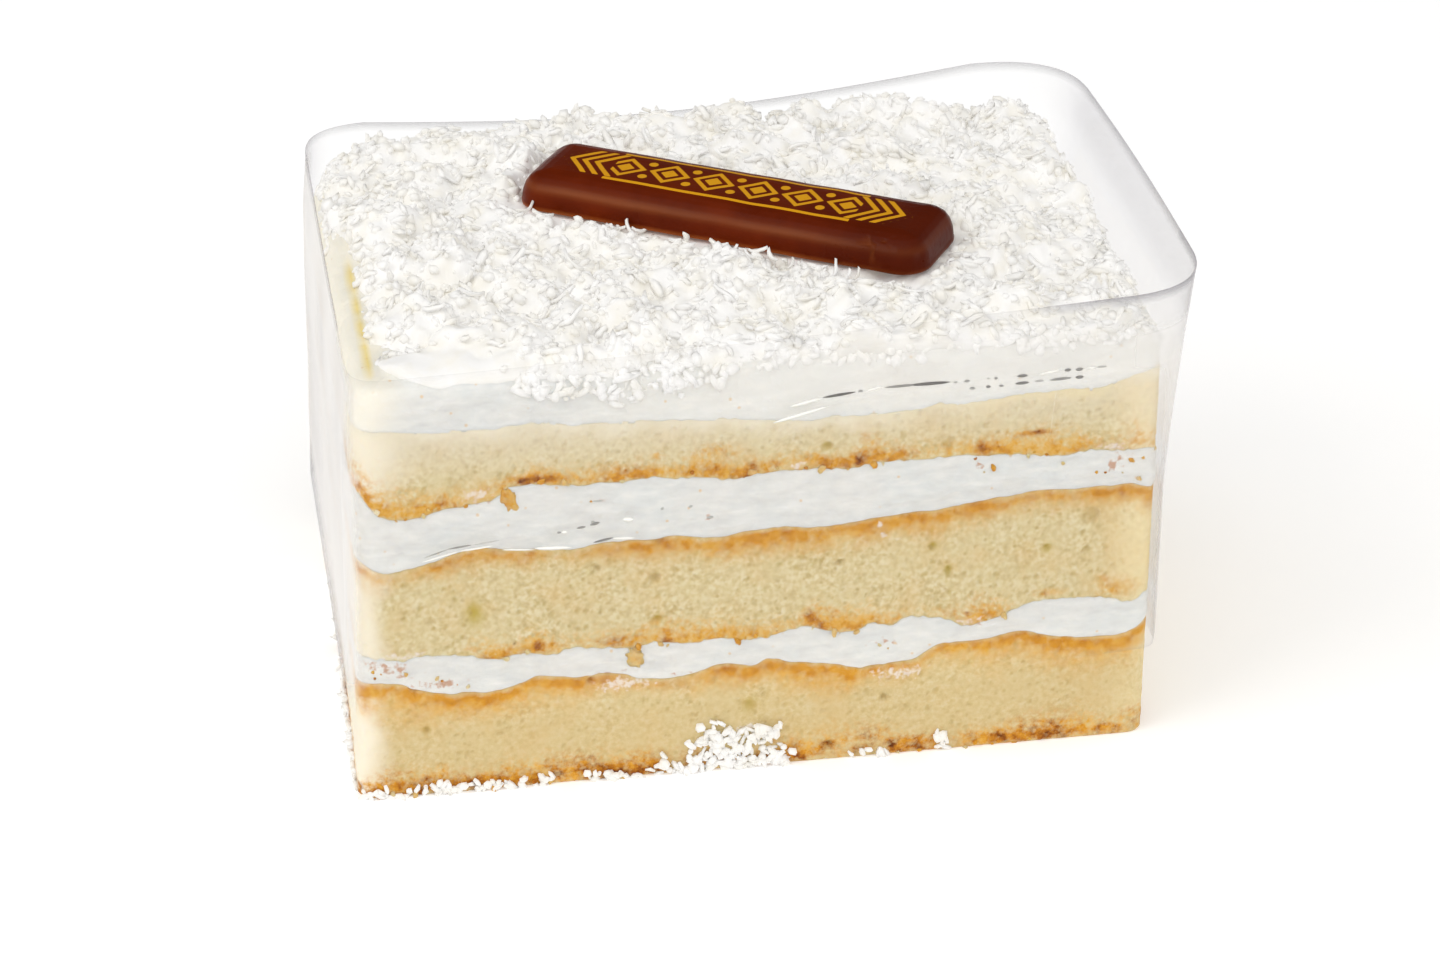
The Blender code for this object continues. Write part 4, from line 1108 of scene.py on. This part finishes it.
# %% Finish of the chocolate
def chocolate_finish():
    finish, tree, shader, place, thin, side_highlight, deep, gilt = new_finish(
        "milk_chocolate", ("thin", "side_highlight", "deep", "gilt"), Specular_IOR_Level=0.07)
    bloom, worn, ripple = [
        add_node(tree, "ShaderNodeTexNoise", {"Vector": place, "Scale": 1 / (size * MM), "Detail": detail})
        for size, detail in ((6, 5), (0.35, 2), (1.1, 4))]
    # The gilt has a crisp edge and is worn in tiny spots
    printed = add_node(tree, "ShaderNodeMapRange", {0: gilt, 1: 0.35, 2: 0.65})
    worn = add_node(tree, "ShaderNodeMapRange", {0: worn, 1: 0.28, 2: 0.36, 3: 0.75})
    solid = add_node(tree, "ShaderNodeMath", {0: printed, 1: worn}, operation="MULTIPLY")
    colour = coats(tree, paint("#581801"), [
        # Cocoa butter bloom in clouds of 6 mm
        (bloom, (0.35, 0.7, 1), "#6A2102"),
        # Thin edges and chips show a lighter, more orange brown
        (thin, None, "#AF5E28"),
        # Painted highlight: a lighter band along the middle of the side, where its gloss would mirror the
        # bright floor
        (side_highlight, None, "#92512A"),
        # Painted shade: the right end is painted darker, where it faces away and mirrors less light
        (deep, None, "#481201"),
        (solid, None, "#DA9B19")])
    rough = add_node(tree, "ShaderNodeMapRange", {0: bloom, 1: 0.3, 2: 0.7, 3: 0.26, 4: 0.36})
    tree.links.new(rough, shader.inputs["Roughness"])
    set_surface(tree, shader, colour, ripple, 0.15, 0.35)
    return finish


CHOCOLATE = chocolate_finish()
print("chocolate nodes:", len(CHOCOLATE.node_tree.nodes))


# %% The gilt ornament
def fold(value, period):
    """Runs 0 up to half the period and back, again and again."""
    return np.abs((value + period / 2) % period - period / 2)


def gilt_print(x, y):
    """1 in the printed ornament, 0 outside, with edges 0.15 mm soft, from places in mm on the bar."""
    ax, ay = np.abs(x), np.abs(y)
    pitch, stroke, soft = 6.0, 0.42, 0.15
    cell = fold(x + pitch / 2, pitch)
    diamond = cell + ay
    # Nested diamonds, dots between them, and a rule above and below
    strokes = [stroke - np.abs(diamond - 2.4), 1.2 - diamond,
               0.6 - np.hypot(pitch / 2 - cell, ay - 1.9), 0.26 - np.abs(ay - 3.8)]
    row = np.minimum(np.max(strokes, axis=0), 16.6 - ax)
    slant = ax + 0.85 * ay
    chevrons = np.min([stroke - fold(slant - 18.9, 1.7), 3.4 - ay, 23.6 - slant, slant - 18.2], axis=0)
    return np.clip(0.5 + np.maximum(row, chevrons) / soft, 0, 1)


print("gilt at the bar's middle:", gilt_print(np.array([0.0]), np.array([0.0])))

# %% The moulded bar
# The top's height at so many mm in from the rim, and the side's rings: how far in, and the height
BAR_SHOULDER = [(0.0, -1.4), (0.12, -0.6), (0.45, 0.35), (1.0, 1.1), (1.7, 1.6), (2.6, 2.0), (3.6, 2.22),
                (4.8, 2.3), (20.0, 2.3)]
BAR_SIDE = [(0.1, -1.6), (0.0, -1.85), (0.05, -2.2), (0.45, -2.3)]
BAR_CORNER, BAR_RIM = 3.6, 0.1


def chocolate_bar(columns, rows):
    u, v, rim, faces = grid_sheet(columns, rows)
    x, y, inward = rounded_spot(u, v, BAR_SIZE[0] / 2 - BAR_RIM, BAR_SIZE[1] / 2 - BAR_RIM, BAR_CORNER)
    top = np.stack([x, y, np.interp(inward, *zip(*BAR_SHOULDER))], axis=1)
    rings, above = [top], rim
    for inset, height in BAR_SIDE:
        ring = top[rim] + outward(top[rim]) * (BAR_RIM - inset)
        ring[:, 2] = height
        below = sum(len(r) for r in rings) + np.arange(len(rim))
        rings.append(ring)
        faces += band(below, above)
        above = below
    faces.append(above.tolist()[::-1])
    points = np.vstack(rings)
    x, y, z = points.T
    # Chips on the front edge near the right end, where the bar was lifted from its mould
    spots = np.stack([x - 21.5, (y + 6.6) * 1.6, z - 0.6], axis=1)
    chip = np.exp(-(np.linalg.norm(spots, axis=1) / 1.7) ** 2) * smooth_step(0.25, 0.6, wander(points, 1.1, 44))
    values = {
        "gilt": gilt_print(x, y) * (z > 1.2),
        "thin": np.clip(0.8 * smooth_step(-1.75, -2.0, z) + 0.8 * chip, 0, 1),
        # Painted shade, darker towards the right end
        "deep": 0.7 * smooth_step(8, 25, x),
        # A painted highlight along the middle of the side
        "side_highlight": 0.55 * np.exp(-((z - 0.55) / 0.5) ** 2) * (0.75 + 0.25 * wander(points, 5.0, 45))}
    drift = [wander(points, 3.0, 41), wander(points, 3.0, 42), wander(points, 4.0, 43)]
    points = points + np.stack(drift, axis=1) * 0.07 - np.stack([0 * chip, -0.35 * chip, 0.45 * chip], axis=1)
    return new_piece("moulded_bar", turned(points, BAR_TURN) + BAR_CENTRE, faces, CHOCOLATE, values)


bar = chocolate_bar(440, 120)
dress(bar, "chocolate_bar")
print("the bar is", round(bar.dimensions.x / MM, 1), "mm wide in x")

# %% [markdown]
# ## Clear collar
#
# The collar is a strip of polyester film, 0.15 mm thick, wrapped round the slice and welded. It mirrors
# a few per cent of the light where one looks straight through it and much more at a glance, so its
# turned walls look milky and its rim shows as a fine grey line. It is drawn as a thin closed shell whose
# graph mixes a see-through part with a glossy one. A white veil of painted reflection and painted glare
# whitens it along its two front corners and over the top coat's right half, and the mesh says where.

# %% Finish of the film
def film_finish():
    finish, tree, shader, place, wiped, milky, rim, fade = new_finish(
        "clear_polyester_film", ("wiped", "milky", "rim", "fade"))
    tree.nodes.remove(shader)
    # How much it mirrors, how milky and how dark it is all rise where it turns away
    facing = add_node(tree, "ShaderNodeLayerWeight", {"Blend": 0.5}, "Facing")
    steep = add_node(tree, "ShaderNodeMath", {0: facing, 1: 2.0}, operation="POWER")
    mirror = add_node(tree, "ShaderNodeMath", {0: steep, 1: 0.11, 2: 0.009}, operation="MULTIPLY_ADD")
    waves = add_node(tree, "ShaderNodeTexNoise", {"Vector": place, "Scale": 1 / (16 * MM), "Detail": 1.0})
    bump = add_node(tree, "ShaderNodeBump", {"Strength": 0.4, "Distance": 1.2 * MM, "Height": waves})
    gloss = add_node(tree, "ShaderNodeBsdfGlossy", {"Roughness": 0.06, "Normal": bump})
    tint = coats(tree, paint("#FFFFFF"), [(steep, None, "#E6E5E7")])
    clear = add_node(tree, "ShaderNodeBsdfTransparent", {"Color": tint})
    # The left wall turns milky where one looks along it, and is clear from the side
    milky = add_node(tree, "ShaderNodeMath", {0: milky, 1: 0.9, 2: 0.05}, operation="MULTIPLY_ADD")
    # The white veil also carries the painted reflections and glare that the mesh marks
    haze = add_node(tree, "ShaderNodeMath", {0: steep, 1: milky, 2: wiped}, operation="MULTIPLY_ADD")
    veil = add_node(tree, "ShaderNodeBsdfDiffuse", {"Color": paint("#F6F4F1")})
    # The cut rim, seen edge on, is a fine grey line
    edge = add_node(tree, "ShaderNodeMath", {0: rim, 1: 0.5}, operation="MULTIPLY")
    line = add_node(tree, "ShaderNodeBsdfDiffuse", {"Color": paint("#B2B0B4")})
    # Towards its foot it fades, because its cut foot hardly shows
    none = add_node(tree, "ShaderNodeBsdfTransparent", {"Color": paint("#FFFFFF")})
    film = clear
    for share, look in ((mirror, gloss), (haze, veil), (edge, line), (fade, none)):
        film = add_node(tree, "ShaderNodeMixShader", {0: share, 1: film, 2: look})
    tree.links.new(film, tree.nodes["Material Output"].inputs["Surface"])
    return finish


FILM = film_finish()
print("film nodes:", len(FILM.node_tree.nodes))

# %% Walls of the strip
# The corners of its foot and its rim, with their radii, and how each side bends or dips between them
FILM_FOOT = [(-50.9, -35.4, 11.6), (50.8, -35.4, 13.0), (50.8, 35.4, 11.5), (-50.4, 35.6, 10.5)]
FILM_RIM = [(-48.4, -35.5, 58.2), (55.2, -36.0, 63.0), (54.4, 37.2, 62.6), (-48.4, 36.6, 59.4)]
FOOT_CORNERS, RIM_CORNERS = [3.0, 2.6, 3.0, 6.0], [4.5, 11.0, 13.0, 8.0]
FOOT_SAGS = [(0, 0, -1.8), (0, 0, 0), (0, 0, 0), (0, 0, 0)]
RIM_SAGS = [(0, 0, -0.4), (0, 0, 0.6), (0, 0.4, -2.8), (0, 0, -0.4)]
FILM_STEPS, FILM_CORNER_STEPS = (130, 80, 130, 80), 16
# Its right end stands upright up to a share of its height and then flares out
FLARE_START, FLARE_CURVE = 0.45, 1.3
# How far its inner face stands off, how thick it is, and the share of that at its cut foot
FILM_INSIDE, FILM_THICK, FOOT_SHARE = 0.08, 0.15, 0.15


def film_lean(z):
    """How far the collar's left wall has gone, 0 to 1, from where its foot stands to where its rim does."""
    return along(LEAN, z / LEAN_TOP) / LEAN[-1]


def film_wall(part, offset):
    """One loop of the collar at a part, 0 to 1, of the way from its foot to its rim."""
    foot = rounded_loop(FILM_FOOT, FOOT_CORNERS, FOOT_SAGS, FILM_STEPS, FILM_CORNER_STEPS)
    rim = rounded_loop(FILM_RIM, RIM_CORNERS, RIM_SAGS, FILM_STEPS, FILM_CORNER_STEPS)
    z = foot[:, 2] + (rim[:, 2] - foot[:, 2]) * part
    flare = max((part - FLARE_START) / (1 - FLARE_START), 0) ** FLARE_CURVE
    across = np.clip(foot[:, 0] / LENGTH + 0.5, 0, 1)
    loop = foot + (rim - foot) * (film_lean(z) * (1 - across) + flare * across)[:, None]
    loop[:, 2] = z
    return loop + outward(loop) * offset


print("points in a loop of the strip:", len(film_wall(0.5, FILM_INSIDE)))


# %% The strip
def clear_collar(rows):
    parts = np.linspace(0, 1, rows + 1)
    inner = [film_wall(part, FILM_INSIDE) for part in parts]
    outer = [film_wall(part, FILM_INSIDE + FILM_THICK * (1.0 if part else FOOT_SHARE)) for part in parts]
    rings = outer + inner[::-1]
    numbers = np.arange(len(rings) * len(rings[0])).reshape(len(rings), -1)
    faces = []
    for below, above in zip(numbers, np.roll(numbers, -1, axis=0)):
        faces += band(below, above)
    points = np.vstack(rings)
    x, y, z = points.T
    # The front rim hardly shows, but for its right end
    lip = np.zeros(len(points))
    lip[numbers[rows:rows + 2]] = 1
    lip *= np.where(y < -20, 0.15 + 0.85 * smooth_step(28, 42, x), 0.5)
    lip *= 0.5 + 0.5 * smooth_step(-46, -40, x)
    above_foot = smooth_step(12, 20, z)
    # How far right of the collar's left wall a point is
    side = x - FILM_FOOT[0][0] - (FILM_RIM[0][0] - FILM_FOOT[0][0]) * film_lean(z)
    # Painted reflections: a bright upright streak by the front left corner, and a paler haze at the right
    # corner and along the right edge
    streak = np.exp(-((side - 0.6) / 0.7) ** 2) * smooth_step(-28, -33, y) * above_foot * (z < 46)
    right_corner = smooth_step(43, 49, x) * (1 - smooth_step(-33, 0, y)) * smooth_step(30, 50, z)
    right_edge = smooth_step(49.5, 51.5, x) * (1 - smooth_step(-33, -20, y)) * above_foot
    right_edge = right_edge * (1 - smooth_step(50, 56, z))
    # A pale glare lies over the top coat's right half
    glare = smooth_step(-12, 12, x) * (y < -30) * smooth_step(50.5, 53, z) * (1 - smooth_step(57, 59, z))
    wiped = 0.3 * streak + 0.1 * right_corner + 0.45 * right_edge + 0.22 * glare
    left_wall = (1 - smooth_step(0.3, 1.2, side)) * (0.8 + 0.2 * wander(points, 12.0, 51))
    left_wall = left_wall * (1 - smooth_step(57.0, 58.6, z)) * above_foot
    # It fades at its foot, on the right wall, and along the front rim's left part
    up = np.repeat(np.concatenate([parts, parts[::-1]]), len(rings[0]))
    fades = [(1 - smooth_step(0.02, 0.12, up)) * smooth_step(-20, -30, y) * (1 - 0.7 * smooth_step(38, 48, x)),
             0.55 * (x > 49.5) * smooth_step(-34, -31, y) * (1 - smooth_step(54, 59, z)),
             0.7 * smooth_step(0.96, 0.985, up) * (y < -20) * (1 - smooth_step(28, 42, x))]
    return new_piece("clear_collar", points, faces, FILM, {
        "rim": lip, "wiped": wiped, "milky": left_wall, "fade": np.max(fades, axis=0)})


collar = clear_collar(36)
dress(collar, "film_collar")
# Film this thin and clear throws no shadow that one could see
collar.visible_shadow = False
print("the collar is", round(collar.dimensions.z / MM, 1), "mm tall in all")

# %% [markdown]
# The film is creased where it was folded round the slice. A crease mirrors now the dark and now the
# bright parts of the room, so it shows as a row of fine dark and white dashes, each 0.2 to 0.4 mm wide.

# %% Finish of the creases
def crease_finish():
    finish, tree, shader, place, shade = new_finish("creased_polyester_film", ("shade",), Roughness=0.5)
    broken = add_node(tree, "ShaderNodeTexNoise", {"Vector": place, "Scale": 1 / (1.2 * MM), "Detail": 2.0})
    tone = add_node(tree, "ShaderNodeMath", {0: broken, 1: 0.25, 2: shade}, operation="MULTIPLY_ADD")
    tree.links.new(coats(tree, paint("#3A3633"), [(tone, None, "#FFFEF8")]), shader.inputs["Base Color"])
    return finish


CREASE = crease_finish()
print("crease nodes:", len(CREASE.node_tree.nodes))

# %% Creases in the film
# Each mark of the creases: its two ends as x and z on the cut face behind it, its width, and its shade from
# dark to white
CREASES = [
    (2.0, 48.4, 8.6, 50.1, 0.45, 0.95), (4.0, 50.4, 8.0, 51.3, 0.4, 0.9),
    (7.9, 51.3, 11.9, 51.75, 0.3, 0.0), (12.2, 51.8, 12.8, 51.82, 0.25, 0.2),
    (13.2, 51.8, 15.2, 52.2, 0.25, 0.9), (15.4, 52.05, 19.5, 52.15, 0.28, 0.15),
    (18.5, 52.12, 23.4, 52.15, 0.36, 0.0), (23.8, 52.05, 24.3, 52.05, 0.2, 0.3),
    (25.1, 52.1, 25.8, 52.1, 0.26, 0.2), (27.9, 52.25, 28.2, 52.25, 0.2, 0.3),
    (28.8, 52.2, 29.2, 52.2, 0.3, 0.2), (25.8, 51.08, 26.5, 51.05, 0.3, 0.2),
    (27.8, 51.15, 28.4, 51.1, 0.3, 0.1), (29.4, 51.15, 30.0, 51.1, 0.26, 0.2),
    (31.6, 52.25, 32.9, 52.25, 0.34, 0.1), (31.4, 51.25, 33.1, 51.3, 0.32, 0.05),
    (33.8, 51.35, 34.9, 51.4, 0.22, 0.35), (35.6, 51.4, 38.3, 51.5, 0.3, 0.15),
    (38.8, 51.5, 39.8, 51.5, 0.36, 0.1), (37.4, 52.6, 38.2, 52.6, 0.34, 0.1),
    (38.8, 52.55, 39.7, 52.6, 0.34, 0.1), (41.4, 52.7, 42.6, 52.7, 0.2, 0.35),
    (34.4, 52.3, 37.0, 52.7, 0.25, 0.9), (40.0, 52.6, 41.3, 52.7, 0.25, 0.9),
    (-40.3, 33.7, -37.4, 34.6, 0.16, 0.3), (-37.6, 34.6, -34.6, 34.95, 0.2, 0.2),
    (-34.5, 34.9, -31.2, 35.3, 0.16, 0.45), (-40.6, 33.1, -36.0, 34.25, 0.24, 0.95),
    (-36.2, 34.2, -32.0, 34.6, 0.24, 0.9), (-31.0, 33.95, -27.0, 33.6, 0.2, 0.9),
    (-27.0, 33.75, -22.6, 33.55, 0.5, 1.0), (-24.3, 35.7, -23.8, 35.7, 0.25, 0.2),
    (-23.7, 35.7, -23.1, 35.7, 0.4, 1.0), (-21.9, 36.1, -20.8, 36.2, 0.25, 0.15),
    (-20.3, 36.4, -19.1, 36.65, 0.34, 0.15), (-20.2, 36.8, -19.7, 36.85, 0.2, 0.3),
    (-19.9, 33.95, -17.5, 34.4, 0.26, 0.1), (-17.5, 34.3, -15.0, 34.15, 0.3, 0.95),
    (-16.3, 36.8, -15.0, 36.7, 0.6, 1.0), (-20.0, 39.6, -18.7, 39.6, 0.22, 0.4),
    (-11.7, 37.8, -11.3, 37.9, 0.3, 0.35), (-8.3, 37.8, -7.8, 37.9, 0.3, 0.35),
    (-6.1, 36.1, -5.3, 36.2, 0.3, 0.3), (36.0, 44.0, 36.6, 51.0, 0.15, 0.9)]
# The film stands before the cake, so its marks stand a little higher and further left
MARK_SHIFT = -0.2, 0.65
MARK_STEPS, MARK_WIDTH = 8, 0.62


def film_spot(x, z, offset):
    """The place on the film's front at an x and a height in mm."""
    ends = film_wall(0.0, FILM_INSIDE), film_wall(1.0, FILM_INSIDE)
    low, high = (loop[:, 2][loop[:, 1] < -30].mean() for loop in ends)
    loop = film_wall(min(max((z - low) / (high - low), 0), 1), offset)
    loop = loop[loop[:, 1] < -30]
    order = np.argsort(loop[:, 0])
    return np.interp(x, loop[order, 0], loop[order, 1])


def crease_marks():
    points, faces, shades = [], [], []
    for start_x, start_z, stop_x, stop_z, width, shade in CREASES:
        ring = len(points) + np.arange(4)
        for i in range(MARK_STEPS + 1):
            t = i / MARK_STEPS
            x = start_x + (stop_x - start_x) * t + MARK_SHIFT[0]
            z = start_z + (stop_z - start_z) * t + MARK_SHIFT[1]
            half = MARK_WIDTH * width * (0.15 + 0.85 * math.sin(math.pi * t) ** 0.6)
            y = film_spot(x, z, FILM_INSIDE + FILM_THICK)
            points += [(x, y - 0.01, z - half), (x, y - 0.05, z), (x, y - 0.01, z + half), (x, y + 0.02, z)]
            if i < MARK_STEPS:
                faces += band(ring + 4 * i, ring + 4 * i + 4)
        faces += [ring[::-1].tolist(), (ring + 4 * MARK_STEPS).tolist()]
        shades += [shade] * 4 * (MARK_STEPS + 1)
    return new_piece("film_creases", points, faces, CREASE, {"shade": shades})


creases = crease_marks()
dress(creases, "film_collar")
print("marks of the creases:", len(CREASES), "with", len(creases.data.polygons), "faces")

# %% [markdown]
# ## Floor
#
# The slice stands alone on a plain pale sweep, lit a little from below.

# %% Floor and boxes
FLOOR_HALF = 3000
sweep = new_finish("white_paper_sweep", Base_Color=paint("#FCFCFC"), Emission_Color=paint("#FFFFFF"),
                   Emission_Strength=0.24, Roughness=0.9, Specular_IOR_Level=0.1)[0]
corners = [(x * FLOOR_HALF, y * FLOOR_HALF, 0) for x, y in ((-1, -1), (1, -1), (1, 1), (-1, 1))]
floor = new_piece("floor", corners, [[0, 1, 2, 3]], sweep, smooth=False)
